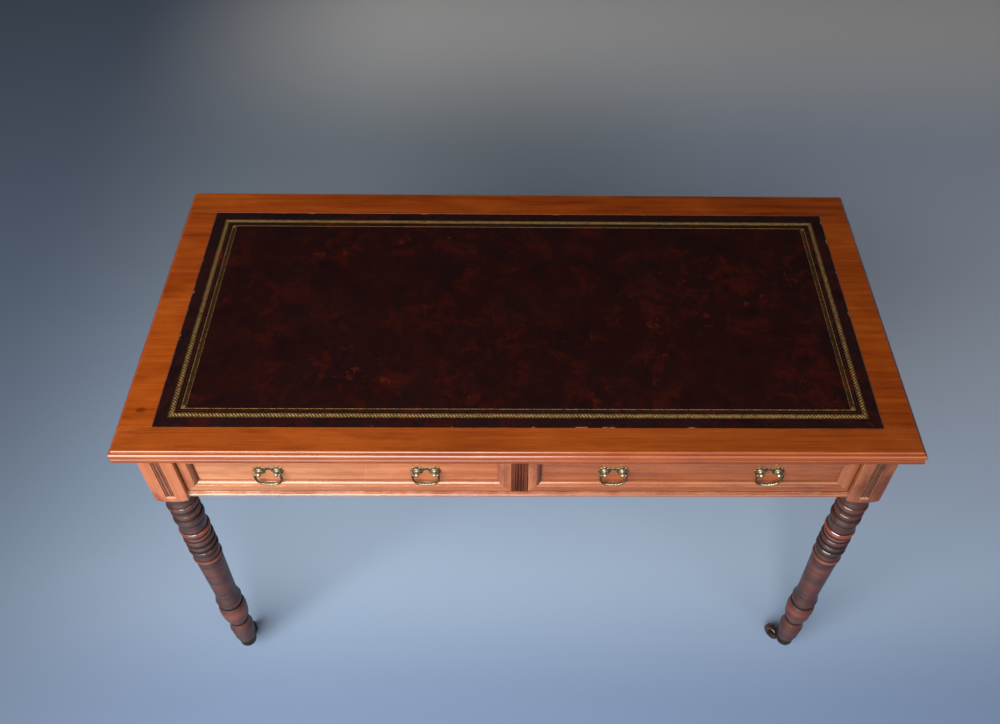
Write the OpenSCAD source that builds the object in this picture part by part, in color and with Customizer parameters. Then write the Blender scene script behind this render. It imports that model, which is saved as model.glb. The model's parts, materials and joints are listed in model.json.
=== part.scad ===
// Writing table with two frieze drawers, turned legs on casters and an inset leather top.
// Millimetres. Z is up, the front faces -Y, and the origin is on the floor under the middle.

/* [Top] */
// Width of the top over its moulded edge
top_w = 1220; // [1000:10:1500]
// Depth of the top over its moulded edge
top_d = 600; // [540:10:750]
// Height of the table from the floor
table_h = 765; // [730:5:800]
// Thickness of the top boards
top_t = 26; // [24:1:32]
// Radius of the small bead along the upper arris
bead_r = 3; // [2:0.5:4]
// Radius of the main torus of the edge moulding
torus_r = 5; // [4:0.5:6]
// Depth of the front board, from the edge to the leather
front_board_d = 51; // [46:1:75]
// Depth of the back board, from the edge to the leather
back_board_d = 61; // [46:1:80]
// Wood left showing at each end of the leather
side_margin = 56.5; // [45:0.5:80]
// Depth of the rebate that holds the leather
rebate_h = 1.5; // [1:0.1:3]
// Thickness of the leather
leather_t = 1.3; // [0.8:0.1:2]

/* [Legs] */
// Side of the square leg block
leg_sq = 53; // [50:1:60]
// Overhang of the top past the legs at each end
side_over = 26; // [20:1:60]
// Overhang of the top past the legs at front and back
front_over = 20; // [16:1:50]
// Height of the square leg block
block_h = 134.5; // [130:0.5:150]
// Height of the turned shoulder at the foot of the block
shoulder_h = 6; // [3:0.5:9]
// Depth of the valleys between the turned rings
valley = 2.7; // [1.5:0.1:4]
// Radius of the leg at the foot of its taper
taper_r = 20.5; // [17:0.5:22]
// Greatest radius of the turned ball above the foot
ball_r = 25.8; // [23:0.1:28]
// Radius of the neck between the ball and the toe
neck_r = 16.8; // [14:0.1:18]
// Radius of the ring round the toe
toe_r = 22.5; // [20:0.5:25]

/* [Reeding] */
// Number of reeds in a strip
reed_n = 3; // [3:1:5]
// Pitch of the reeds
reed_p = 4.8; // [3:0.1:5.5]
// Depth of the sunk strip
reed_d = 2.5; // [1.5:0.1:3]
// Plain wood left below a reeded strip
reed_stop = 14; // [8:1:30]

/* [Frieze] */
// Setback of the rails behind the faces of the legs
setback = 8; // [4:0.5:12]
// Thickness of the back and side rails
rail_t = 20; // [16:1:24]
// Height of the leg block's foot below the rails
block_foot = 4.5; // [2:0.5:10]
// Thickness of the front bottom rail and of the runners
bottom_rail_t = 14; // [12:0.5:18]
// Thickness of the front top rail and of the kickers
top_rail_t = 23.5; // [18:0.5:26]
// Depth of the two front rails
front_rail_d = 46; // [42:1:60]
// Radius of the bead along the bottom rail
rail_bead_r = 3; // [2:0.5:4]
// Width of the centre stile
stile_w = 24; // [22:1:40]
// Depth of the centre stile
stile_d = 22; // [18:1:30]
// Length of the rail tenons
tenon_l = 22; // [15:1:24]
// Thickness of the rail tenons
tenon_t = 8; // [6:0.5:10]
// Bearing of each drawer side on its runner
bearing_w = 19; // [14:1:30]
// Height of the side guides above the runners
guide_h = 18; // [10:1:30]
// Reach of the side kickers over the drawer sides
kicker_w = 7; // [5:0.5:12]

/* [Drawers] */
// Gap round the drawer fronts
drawer_gap = 1; // [0.5:0.1:2]
// Thickness of the drawer front board
front_t = 14; // [12:0.5:18]
// Thickness of the moulded frame planted on the front
frame_t = 8; // [5:0.5:10]
// Width of the flat face of the planted frame
frame_w = 14; // [10:0.5:20]
// Radius of the ovolo inside the planted frame
ovolo_r = 7.2; // [4:0.1:9]
// Thickness of the drawer sides and back
side_t = 10; // [8:0.5:12]
// Gap between the drawer sides and the kickers
kicker_gap = 3.5; // [2:0.5:8]
// Thickness of the drawer bottom
bottom_t = 6; // [4:0.5:8]
// Height of the drawer bottom above the lower edge of the sides
bottom_up = 6; // [5:0.5:12]
// Free space behind the drawers
behind_gap = 27; // [10:1:60]
// Length of the dovetails
tail_l = 10; // [8:0.5:11]

/* [Handles] */
// Distance of each handle from the middle of its drawer
handle_x = 123.5; // [80:0.5:150]
// Height of the handle posts above the lower edge of the front
handle_z = 47; // [40:0.5:60]
// Distance between the two posts of a handle
post_gap = 28; // [26:0.5:45]
// Thickness of the brass plate
plate_t = 1.6; // [1:0.1:3]
// Radius of the body of a rosette
rosette_r = 8.4; // [7:0.1:10]
// Radius of the ball at the head of a post
knob_r = 3.6; // [3:0.1:4.5]
// Distance of the bail's pivot from the drawer panel
pivot_out = 9; // [8.5:0.5:14]
// Radius of the pivot pins of the bail
pin_r = 1.6; // [1.2:0.1:2]
// Radius of the arms of the bail
arm_r = 1.8; // [1.5:0.1:2.2]
// Drop from the pivot to the grip
bail_drop = 26.5; // [20:0.5:32]
// Length of the ringed grip
grip_l = 22; // [16:0.5:30]
// Radius of the grip over its rings
grip_r = 2.5; // [2:0.1:3]
// Radius of the bow of the grip
grip_bend = 34; // [30:1:80]
// Number of rings on the grip
grip_rings = 9; // [5:1:11]
// Radius of the threaded shank behind each post
shank_r = 2.5; // [2:0.1:3]

/* [Casters] */
// Diameter of the caster wheel
wheel_d = 34; // [30:1:38]
// Width of the caster wheel
wheel_w = 12; // [9:0.5:14]
// Distance of the axle behind the swivel axis
trail = 30; // [28:1:34]
// Radius of the axle
axle_r = 2.5; // [2:0.1:3]
// Radius of the swivel pintle
pintle_r = 4; // [3:0.1:5]
// Outer radius of the brass cup
cup_r = 17.4; // [16.5:0.1:19]
// Height of the brass cup
cup_h = 22; // [16:0.5:25]
// Wall of the brass cup
cup_wall = 1.5; // [1:0.1:2]

/* [Hidden] */
$fn = 64;

// Clearance between a tenon and its mortise, and the like
joint_fit = 0.1;
// Half of the glue line in a mitre
mitre_fit = 0.06;
// Radial clearance of a pin that turns in its hole
turn_fit = 0.05;
// Clearance between a moving drawer or caster and its seat
slide_fit = 0.3;
// Allowance by which a cutter runs past the face that it cuts
past = 1;

// Wood left below and above the tenons of the rails
foot_haunch = 10;
head_haunch = 12;
// Depth of the counterbores for the screw heads
head_seat = 7;

// Heights of the carcass
under_z = table_h - top_t;
block_z = under_z - block_h;
rail_z = block_z + block_foot;
bed_z = rail_z + bottom_rail_t;
head_z = under_z - top_rail_t;

// Places of the legs and rails
leg_x = top_w / 2 - side_over - leg_sq / 2;
leg_y = top_d / 2 - front_over - leg_sq / 2;
in_x = leg_x - leg_sq / 2;
in_y = leg_y - leg_sq / 2;
face_x = leg_x + leg_sq / 2 - setback;
face_y = leg_y + leg_sq / 2 - setback;
rail_in_x = face_x - rail_t;
rail_in_y = face_y - rail_t;
front_back_y = -face_y + front_rail_d;
side_front_y = max(front_back_y, -in_y);

// Drawer opening and drawer
open_w = in_x - stile_w / 2;
drawer_w = open_w - 2 * drawer_gap;
drawer_mid = stile_w / 2 + open_w / 2;
front_z = bed_z + drawer_gap;
front_h = head_z - bed_z - 2 * drawer_gap;
panel_y = -face_y + drawer_gap + frame_t;
board_back_y = panel_y + front_t;
side_z = bed_z + slide_fit;
side_top = head_z - kicker_gap;
drawer_end = rail_in_y - behind_gap;
bottom_z = side_z + bottom_up;
groove = side_t / 2;

// Handle places
pivot_y = panel_y - pivot_out;
pivot_z = front_z + handle_z;
arm_x = post_gap / 2 + knob_r + arm_r + 1;

// Caster stack, from the floor up
crown_t = 4.5;
crown_back = 6;
crown_z = wheel_d - 5;
flange_t = 3.2;
cup_z = crown_z + crown_t + flange_t + slide_fit;
toe_z = cup_z + cup_h;
disc_t = 3;
cup_taper = 1.4;
cup_lip_h = 2;
cup_in_r = cup_r - cup_taper - cup_wall;
rivet_t = 2.7;
cheek_t = 2.5;
cheek_in = wheel_w / 2 + 0.4;

// Turned rings of the leg: drop below the block, half height, and depth below the full radius
rings = [
    [34.5, 10, 0],
    [55.5, 3.5, 1.2],
    [76.5, 14, 0.2],
    [115.5, 8, 0],
    [143.5, 9, 0.2],
    [161.5, 7, 0.5],
    [178.5, 7, 0.2],
    [209.5, 9, 0.7],
];
ring_end = 222;
// Neck under the block: how much it is sunk, its length, and where it meets the shaft
top_neck = 4;
top_neck_h = 17;
top_neck_end = 24;

// Turned foot of the leg: heights above the toe of the wood
bead_up = 83;
ball_up = 129;
ball_top_h = 20;
ball_foot_h = 43;
ring_up = 158.5;
bell_up = 168;
bell_h = 29;
neck_up = 74;
toe_ring_up = 49;
heel_up = 26;
cup_ring_up = 14;

// Turned foot of the leg: radii, and half heights of the rings
ball_top_r = 20.5;
bell_flare = 4;
bead_out = 2.5;
bead_h = 2.5;
bell_ring_r = 23;
bell_ring_h = 5.5;
toe_ring_h = 3;
toe_sink = 1;
heel_sink = 1.5;
cup_step = 0.3;
cup_ring_out = 3;
cup_ring_h = 2;

// Swivel angle of each caster as it stands
swivel = [4, 36, -35, 20];
// Corner of each leg: sign along X and along Y
corner = [[-1, -1], [1, -1], [-1, 1], [1, 1]];

screw_r = 2;
screw_up = 14;
head_r = 4;
// Screws that hold the top: along the front rail, in the side kickers and in the back blocks
front_screws = [for (x = [-0.8, -0.3, 0.3, 0.8]) [x * in_x, -face_y + 15]];
side_screws = [for (sx = [-1, 1], sy = [-0.5, 0.5]) [sx * (in_x + 8), sy * in_y]];
block_l = 60;
block_w = 20;
block_x = [for (k = [-0.75, -0.27, 0.27, 0.75]) k * in_x];
back_screws = [for (x = [block_x[0], block_x[3]]) [x, rail_in_y - block_w / 2]];

mahogany = [0.60, 0.28, 0.13];
dark_wood = [0.30, 0.12, 0.07];
deal = [0.72, 0.55, 0.36];
brass = [0.66, 0.53, 0.27];
hide = [0.17, 0.05, 0.04];
glaze = [0.30, 0.17, 0.12];

// A box between two corners
module block(a, b) {
    translate(a) cube(b - a);
}

// Section of the top across one direction: a bead, a torus, a quirk and a lower torus on each edge
module top_section(half) {
    torus_z = top_t - bead_r - 1 - torus_r;
    foot_r = (torus_z - torus_r - 1) / 2;
    foot_x = half - foot_r - 0.5;
    for (side = [0, 1]) mirror([side, 0]) {
        square([foot_x, top_t - bead_r]);
        square([half - torus_r - bead_r, top_t]);
        translate([half - torus_r - bead_r, top_t - bead_r]) circle(bead_r);
        translate([half - torus_r, torus_z]) circle(torus_r);
        translate([0, foot_r]) square([half - 2.5, torus_z - foot_r]);
        translate([0, torus_z]) square([half - torus_r, top_t - bead_r - torus_z]);
        translate([foot_x, foot_r]) circle(foot_r);
    }
}

// The whole moulded top, mitred at its corners, before it is parted into boards
module top_slab() {
    translate([0, 0, under_z]) intersection() {
        rotate([90, 0, 0]) linear_extrude(top_d, center = true) top_section(top_w / 2);
        rotate([90, 0, 90]) linear_extrude(top_w, center = true) top_section(top_d / 2);
    }
}

// Pilot holes for the screws that come up from the frame
module screw_holes(places, z0, r) {
    for (p = places) translate([p.x, p.y, z0]) cylinder(h = under_z + screw_up + 0.5 - z0, r = r);
}

// One board of the top, from y0 to y1
module top_board(y0, y1) {
    difference() {
        intersection() {
            top_slab();
            block([-top_w / 2, y0, under_z], [top_w / 2, y1, table_h]);
        }
        screw_holes(concat(front_screws, side_screws, back_screws), under_z - past, screw_r + turn_fit);
    }
}

leather_y0 = -top_d / 2 + front_board_d;
leather_y1 = top_d / 2 - back_board_d;
leather_x = top_w / 2 - side_margin;

module top_front_board() {
    color(mahogany) top_board(-top_d / 2, leather_y0);
}

module top_centre_board() {
    color(mahogany) difference() {
        top_board(leather_y0, leather_y1);
        block(
            [-leather_x - joint_fit, leather_y0 - past, table_h - rebate_h],
            [leather_x + joint_fit, leather_y1 + past, table_h + past]
        );
    }
}

module top_back_board() {
    color(mahogany) top_board(leather_y1, top_d / 2);
}

module leather_panel() {
    z0 = table_h - rebate_h;
    color(hide) block(
        [-leather_x, leather_y0 + joint_fit, z0],
        [leather_x, leather_y1 - joint_fit, z0 + leather_t]
    );
}

// Cutter for a sunk strip with reeds standing in it, on a face that looks along -Y
module reed_cutter(h) {
    w = reed_n * reed_p;
    difference() {
        translate([-w / 2, -past, 0]) cube([w, reed_d + past, h]);
        for (k = [0 : reed_n - 1]) translate([(k + 0.5) * reed_p - w / 2, reed_d, -past])
            cylinder(h = h + 2 * past, r = reed_p / 2);
    }
}

// A half-round ring on a turned section
module ring_section(z, r, h) {
    translate([r - h, z]) circle(h);
    translate([0, z - h]) square([r - h, 2 * h]);
}

// Section of the turned leg, right of its axis
module leg_section() {
    full = leg_sq / 2;
    low = full - valley;
    z_ball = toe_z + ball_up;
    z_bell = toe_z + bell_up;
    z_bead = toe_z + bead_up;
    bead_r0 = neck_r + bead_out;
    ball_foot_r = bead_r0 - 0.8;
    intersection() {
        union() {
            polygon([
                [0, block_z + past],
                [full - top_neck, block_z + past],
                [full - top_neck, block_z - top_neck_h],
                [low, block_z - top_neck_end],
                [low, block_z - ring_end],
                [taper_r, z_bell + bell_h],
                for (t = [0.25 : 0.25 : 1]) [taper_r + bell_flare * t * t, z_bell + bell_h * (1 - t)],
                [ball_top_r, z_bell],
                for (a = [90 : -15 : 0]) [
                    ball_top_r + (ball_r - ball_top_r) * cos(a),
                    z_ball + ball_top_h * sin(a)
                ],
                for (a = [15 : 15 : 90]) [
                    ball_foot_r + (ball_r - ball_foot_r) * cos(a),
                    z_ball - ball_foot_h * sin(a)
                ],
                [neck_r, z_bead - bead_h - 1.5],
                for (t = [0 : 0.25 : 1]) [
                    neck_r + (toe_r - toe_sink - neck_r) * sin(90 * t),
                    toe_z + neck_up - (neck_up - toe_ring_up) * t
                ],
                [toe_r - 0.8, toe_z + toe_ring_up - toe_ring_h - 1],
                [toe_r - heel_sink, toe_z + heel_up],
                [cup_r + cup_step, toe_z],
                [0, toe_z],
            ]);
            for (ring = rings) ring_section(block_z - ring[0], full - ring[2], ring[1]);
            ring_section(toe_z + ring_up, bell_ring_r, bell_ring_h);
            ring_section(z_bead, bead_r0, bead_h);
            ring_section(toe_z + toe_ring_up, toe_r, toe_ring_h);
            ring_section(toe_z + cup_ring_up, cup_r + cup_ring_out, cup_ring_h);
        }
        translate([0, toe_z]) square([full + 9, block_z + past - toe_z]);
    }
}

// Tenon of the side rail in one corner's leg
module side_tenon(c, fit) {
    x = c.x * (face_x - rail_t / 2);
    y = c.y * (in_y + tenon_l / 2);
    z0 = rail_z + foot_haunch - fit;
    z1 = under_z - head_haunch + fit;
    translate([x, y, (z0 + z1) / 2]) cube([tenon_t + 2 * fit, tenon_l + 2 * fit, z1 - z0], center = true);
}

// Tenon of the back rail
module back_tenon(sx, fit) {
    x = sx * (in_x + tenon_l / 2);
    y = face_y - rail_t / 2;
    z0 = rail_z + foot_haunch - fit;
    z1 = under_z - head_haunch + fit;
    translate([x, y, (z0 + z1) / 2]) cube([tenon_l + 2 * fit, tenon_t + 2 * fit, z1 - z0], center = true);
}

// Tenon of the front bottom rail
module bottom_tenon(sx, fit) {
    x = sx * (in_x + tenon_l / 2);
    y = -face_y + front_rail_d / 2;
    z = rail_z + bottom_rail_t / 2;
    w = front_rail_d - 16;
    translate([x, y, z]) cube([tenon_l + 2 * fit, w + 2 * fit, bottom_rail_t / 2 + 2 * fit], center = true);
}

// Dovetail of the front top rail, let into the leg from above
module top_dovetail(sx, fit) {
    y = -face_y + front_rail_d / 2;
    w = front_rail_d / 2 - 9 + fit;
    l = tenon_l - 4 + fit;
    depth = top_rail_t / 2 + fit;
    rise = fit > 0 ? past : 0;
    translate([sx * in_x, y, under_z - depth]) linear_extrude(depth + rise)
        scale([sx, 1]) polygon([[0, -w], [l, -w - 4], [l, w + 4], [0, w]]);
}

// One leg: square block, reeded strips on its outward faces, turned shaft, and its mortises
module leg(i) {
    c = corner[i];
    reed_h = block_h - reed_stop + past;
    difference() {
        translate([c.x * leg_x, c.y * leg_y, 0]) difference() {
            union() {
                intersection() {
                    translate([-leg_sq / 2, -leg_sq / 2, block_z]) cube([leg_sq, leg_sq, block_h]);
                    union() {
                        translate([0, 0, block_z])
                            cylinder(h = shoulder_h, r1 = leg_sq / 2, r2 = leg_sq * 0.72);
                        translate([0, 0, block_z + shoulder_h]) cylinder(h = block_h, r = leg_sq);
                    }
                }
                rotate_extrude() leg_section();
                translate([0, 0, cup_z + disc_t]) cylinder(h = cup_h, r = cup_in_r - joint_fit);
            }
            translate([0, 0, cup_z]) cylinder(h = disc_t + rivet_t + 2, r = pintle_r + 3);
            if (c.y < 0)
                translate([0, -leg_sq / 2, block_z + reed_stop]) reed_cutter(reed_h);
            rotate([0, 0, c.x * 90]) translate([0, -leg_sq / 2, block_z + reed_stop]) reed_cutter(reed_h);
        }
        side_tenon(c, joint_fit);
        if (c.y > 0) back_tenon(c.x, joint_fit);
        if (c.y < 0) {
            bottom_tenon(c.x, joint_fit);
            top_dovetail(c.x, joint_fit);
        }
    }
}

module leg_front_left() {
    color(dark_wood) leg(0);
}

module leg_front_right() {
    color(dark_wood) leg(1);
}

module leg_back_left() {
    color(dark_wood) leg(2);
}

module leg_back_right() {
    color(dark_wood) leg(3);
}

// Stub tenon of the centre stile in the rails above and below
module stile_tenon(z, fit) {
    translate([0, -face_y + stile_d / 2, z])
        cube([stile_w / 2 + 2 * fit, stile_d / 2 + 2 * fit, 2 * (6 + fit)], center = true);
}

module front_bottom_rail() {
    bead_z = rail_z + rail_bead_r + 3;
    color(mahogany) difference() {
        union() {
            block([-in_x, -face_y, rail_z], [in_x, front_back_y, bed_z]);
            translate([-in_x, -face_y, bead_z]) rotate([0, 90, 0]) cylinder(h = 2 * in_x, r = rail_bead_r);
            for (sx = [-1, 1]) bottom_tenon(sx, 0);
        }
        stile_tenon(bed_z, joint_fit);
        for (x = stop_x) translate([x, stop_y, bed_z - 4]) cylinder(h = 10, r = 1.6);
    }
}

module front_top_rail() {
    color(mahogany) difference() {
        union() {
            block([-in_x, -face_y, head_z], [in_x, front_back_y, under_z]);
            for (sx = [-1, 1]) top_dovetail(sx, 0);
        }
        stile_tenon(head_z, joint_fit);
        screw_holes(front_screws, head_z - past, screw_r + turn_fit);
        for (p = front_screws) translate([p.x, p.y, head_z - past]) cylinder(h = head_seat, r = head_r + 0.5);
    }
}

module centre_stile() {
    color(dark_wood) difference() {
        union() {
            block([-stile_w / 2, -face_y, bed_z], [stile_w / 2, -face_y + stile_d, head_z]);
            stile_tenon(bed_z, 0);
            stile_tenon(head_z, 0);
        }
        translate([0, -face_y, bed_z - past]) reed_cutter(head_z - bed_z + 2 * past);
    }
}

module side_rail(sx) {
    color(mahogany) union() {
        block(
            [min(sx * rail_in_x, sx * face_x), -in_y, rail_z],
            [max(sx * rail_in_x, sx * face_x), in_y, under_z]
        );
        for (sy = [-1, 1]) side_tenon([sx, sy], 0);
    }
}

module left_rail() {
    side_rail(-1);
}

module right_rail() {
    side_rail(1);
}

module back_rail() {
    color(mahogany) union() {
        block([-in_x, rail_in_y, rail_z], [in_x, face_y, under_z]);
        for (sx = [-1, 1]) back_tenon(sx, 0);
    }
}

// A runner under one side of a drawer, with the guide that stands beside the drawer
module side_runner(sx) {
    inner = in_x - bearing_w;
    color(deal) scale([sx, 1, 1]) union() {
        block([inner, front_back_y, rail_z], [in_x, rail_in_y, bed_z]);
        block([in_x - past, side_front_y, rail_z], [rail_in_x, in_y, bed_z]);
        block([in_x, side_front_y, bed_z - past], [rail_in_x, in_y, bed_z + guide_h]);
    }
}

module left_runner() {
    side_runner(-1);
}

module right_runner() {
    side_runner(1);
}

module centre_runner() {
    half = stile_w / 2;
    color(deal) union() {
        block([-half - bearing_w, front_back_y, rail_z], [half + bearing_w, rail_in_y, bed_z]);
        block([-half, front_back_y, bed_z - past], [half, rail_in_y, bed_z + guide_h]);
    }
}

// Kickers above the drawer sides: one on each side rail and one in the middle
module kickers() {
    half = stile_w / 2 + bearing_w;
    color(deal) difference() {
        union() {
            block([-half, front_back_y, head_z], [half, rail_in_y, under_z]);
            for (sx = [-1, 1]) scale([sx, 1, 1])
                block([in_x - kicker_w, side_front_y, head_z], [rail_in_x, in_y, under_z]);
        }
        screw_holes(side_screws, head_z - past, screw_r + turn_fit);
        for (p = side_screws) translate([p.x, p.y, head_z - past]) cylinder(h = head_seat, r = head_r + 0.5);
    }
}

stop_x = [for (sx = [-1, 1], k = [-1, 1]) sx * (drawer_mid + k * open_w * 0.28)];
stop_y = (board_back_y + slide_fit + front_back_y) / 2;

// Stops that the back of each drawer front meets, each pinned to the rail by a dowel
module drawer_stops() {
    l = front_back_y - board_back_y - slide_fit;
    color(deal) for (x = stop_x) {
        translate([x - 13, board_back_y + slide_fit, bed_z]) cube([26, l, bottom_up - 1.5]);
        translate([x, stop_y, bed_z - 4 + joint_fit]) cylinder(h = 5, r = 1.5);
    }
}

module glue_blocks() {
    color(deal) difference() {
        for (x = block_x)
            block([x - block_l / 2, rail_in_y - block_w, head_z], [x + block_l / 2, rail_in_y, under_z]);
        screw_holes(back_screws, head_z - past, screw_r + turn_fit);
        for (p = back_screws) translate([p.x, p.y, head_z - past]) cylinder(h = head_seat, r = head_r + 0.5);
    }
}

// Countersunk wood screw, pointing up
module wood_screw() {
    seat = head_z + head_seat - past;
    translate([0, 0, seat]) cylinder(h = under_z + screw_up - seat, r = screw_r);
    translate([0, 0, seat - 2.5]) cylinder(h = 2.5, r = head_r);
}

module top_screws() {
    color([0.45, 0.44, 0.42]) for (p = concat(front_screws, side_screws, back_screws))
        translate([p.x, p.y, 0]) wood_screw();
}

// A row of dovetails in the plane of a drawer side: y runs away from the shoulder at y0
module tails(y0, dir, z0, z1, n, x0, x1, fit) {
    pitch = (z1 - z0) / n;
    wide = pitch * 0.36 + fit;
    narrow = pitch * 0.27 + fit;
    for (k = [0 : n - 1]) translate([x0 - fit, y0, z0 + (k + 0.5) * pitch])
        rotate([90, 0, 90]) linear_extrude(x1 - x0 + 2 * fit) scale([dir, 1]) polygon([
            [-fit, -narrow], [tail_l + fit, -wide], [tail_l + fit, wide], [-fit, narrow]
        ]);
}

// Dovetails at the front and at the back of one drawer side
module side_tails(x0, fit) {
    tails(board_back_y, -1, side_z, side_top, 3, x0, x0 + side_t, fit);
    tails(drawer_end - tail_l, 1, bottom_z + bottom_t, side_top - 5, 3, x0, x0 + side_t, fit);
}

// Low X of the two sides of a drawer whose middle is at +drawer_mid
side_low = [drawer_mid - drawer_w / 2, drawer_mid + drawer_w / 2 - side_t];

// Places of the handle posts along X for one drawer
post_x = [for (h = [-1, 1], p = [-1, 1]) drawer_mid + h * handle_x + p * post_gap / 2];

module drawer_front(sx) {
    half = drawer_w / 2;
    color(mahogany) scale([sx, 1, 1]) difference() {
        block([drawer_mid - half, panel_y, front_z], [drawer_mid + half, board_back_y, front_z + front_h]);
        for (x = side_low) side_tails(x, joint_fit);
        block(
            [
                side_low[0] + side_t - groove - joint_fit,
                board_back_y - groove - joint_fit,
                bottom_z - joint_fit
            ],
            [side_low[1] + groove + joint_fit, board_back_y + past, bottom_z + bottom_t + joint_fit]
        );
        for (x = post_x) translate([x, panel_y - past, pivot_z]) rotate([-90, 0, 0])
            cylinder(h = front_t + 2 * past, r = shank_r + turn_fit);
    }
}

// Section of the moulding planted round a drawer front: a flat, then an ovolo towards the panel
module moulding_section() {
    translate([-frame_t, 0]) square([frame_t, frame_w]);
    intersection() {
        translate([0, frame_w]) circle(ovolo_r);
        translate([-frame_t, 0]) square([frame_t, frame_w + ovolo_r]);
    }
}

// One mitred length of the moulding, l long at its outer edge, which lies along X at the origin
module moulding_length(l) {
    reach = frame_w + ovolo_r + past;
    foot = l / 2 - mitre_fit;
    intersection() {
        rotate([90, 0, 90]) linear_extrude(l, center = true) moulding_section();
        rotate([90, 0, 0]) linear_extrude(4 * frame_t, center = true)
            polygon([[-foot, 0], [foot, 0], [foot - reach, reach], [reach - foot, reach]]);
    }
}

// The four mitred lengths of one drawer front
module drawer_frame(sx) {
    sides = [
        [drawer_w, front_h, 0],
        [front_h, drawer_w, 90],
        [drawer_w, front_h, 180],
        [front_h, drawer_w, 270],
    ];
    color(mahogany) translate([sx * drawer_mid, panel_y, front_z + front_h / 2]) for (s = sides)
        rotate([0, s[2], 0]) translate([0, 0, -s[1] / 2]) moulding_length(s[0]);
}

// One side of a drawer whose middle is at +drawer_mid; k is 0 for the inner side, 1 for the outer
module drawer_side(sx, k) {
    x0 = side_low[k];
    face = k == 0 ? x0 + side_t - groove : x0 - past;
    color(deal) scale([sx, 1, 1]) difference() {
        union() {
            block([x0, board_back_y, side_z], [x0 + side_t, drawer_end - tail_l, side_top]);
            side_tails(x0, 0);
            block(
                [x0, drawer_end - tail_l - past, side_z],
                [x0 + side_t, drawer_end, bottom_z + bottom_t - joint_fit]
            );
        }
        block(
            [face - (k == 0 ? joint_fit : 0), board_back_y - groove - joint_fit, bottom_z - joint_fit],
            [
                face + groove + past + (k == 0 ? 0 : joint_fit),
                drawer_end + past,
                bottom_z + bottom_t + joint_fit
            ]
        );
    }
}

module drawer_back(sx) {
    color(deal) scale([sx, 1, 1]) difference() {
        block(
            [side_low[0], drawer_end - tail_l, bottom_z + bottom_t],
            [side_low[1] + side_t, drawer_end, side_top - 5]
        );
        for (x = side_low) side_tails(x, joint_fit);
    }
}

module drawer_bottom(sx) {
    color(deal) scale([sx, 1, 1]) block(
        [side_low[0] + side_t - groove, board_back_y - groove, bottom_z],
        [side_low[1] + groove, drawer_end, bottom_z + bottom_t]
    );
}

// Square nuts on the shanks of the handle posts, inside the drawer
module handle_nuts(sx) {
    color(brass) scale([sx, 1, 1]) for (x = post_x) translate([x, board_back_y, pivot_z]) difference() {
        translate([-5, 0, -5]) cube([10, 3, 10]);
        rotate([-90, 0, 0]) translate([0, 0, -past]) cylinder(h = 6, r = shank_r + turn_fit);
    }
}

module left_drawer_front() {
    drawer_front(-1);
}

module left_drawer_frame() {
    drawer_frame(-1);
}

module left_drawer_outer_side() {
    drawer_side(-1, 1);
}

module left_drawer_inner_side() {
    drawer_side(-1, 0);
}

module left_drawer_back() {
    drawer_back(-1);
}

module left_drawer_bottom() {
    drawer_bottom(-1);
}

module left_handle_nuts() {
    handle_nuts(-1);
}

module right_drawer_front() {
    drawer_front(1);
}

module right_drawer_frame() {
    drawer_frame(1);
}

module right_drawer_outer_side() {
    drawer_side(1, 1);
}

module right_drawer_inner_side() {
    drawer_side(1, 0);
}

module right_drawer_back() {
    drawer_back(1);
}

module right_drawer_bottom() {
    drawer_bottom(1);
}

module right_handle_nuts() {
    handle_nuts(1);
}

// Middle of each handle along X, from left to right
handle_mid = [
    -drawer_mid - handle_x, -drawer_mid + handle_x,
    drawer_mid - handle_x, drawer_mid + handle_x,
];

post_neck_r = 2.6;

// Outline of a rosette: a disc with lobes round it
module rosette_outline() {
    lobes = 8;
    lobe_r = 2.4;
    circle(rosette_r);
    for (k = [0 : lobes - 1]) rotate(k * 360 / lobes) translate([rosette_r, 0]) circle(lobe_r);
}

// Plate of two linked rosettes with the posts that carry the bail
module handle_plate(i) {
    link_z = 1.5;
    link_w = 4;
    scallop_r = 2.2;
    base_h = 1.4;
    color(brass) translate([handle_mid[i], panel_y, pivot_z]) rotate([90, 0, 0]) difference() {
        union() {
            linear_extrude(plate_t) {
                for (s = [-1, 1]) translate([s * post_gap / 2, 0]) rosette_outline();
                translate([-post_gap / 2, link_z]) square([post_gap, link_w]);
                for (s = [-1, 0, 1]) translate([s * (scallop_r + 1.2), link_z + link_w]) circle(scallop_r);
            }
            for (s = [-1, 1]) translate([s * post_gap / 2, 0, 0]) {
                cylinder(h = plate_t + base_h, r1 = rosette_r - 1.4, r2 = rosette_r - 3.4);
                cylinder(h = pivot_out, r = post_neck_r);
                translate([0, 0, pivot_out]) sphere(knob_r);
                translate([0, 0, -front_t - 5]) cylinder(h = front_t + 6, r = shank_r);
            }
        }
        translate([-post_gap, 0, pivot_out]) rotate([0, 90, 0])
            cylinder(h = 2 * post_gap, r = pin_r + turn_fit);
    }
}

// Part of a ring in the upright plane: bend radius r, rod radius t, from angle a0 through turn
module bent_rod(r, t, a0, turn) {
    rotate([90, 0, 0]) rotate([0, 0, a0]) rotate_extrude(angle = turn) translate([r, 0]) circle(t);
}

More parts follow.
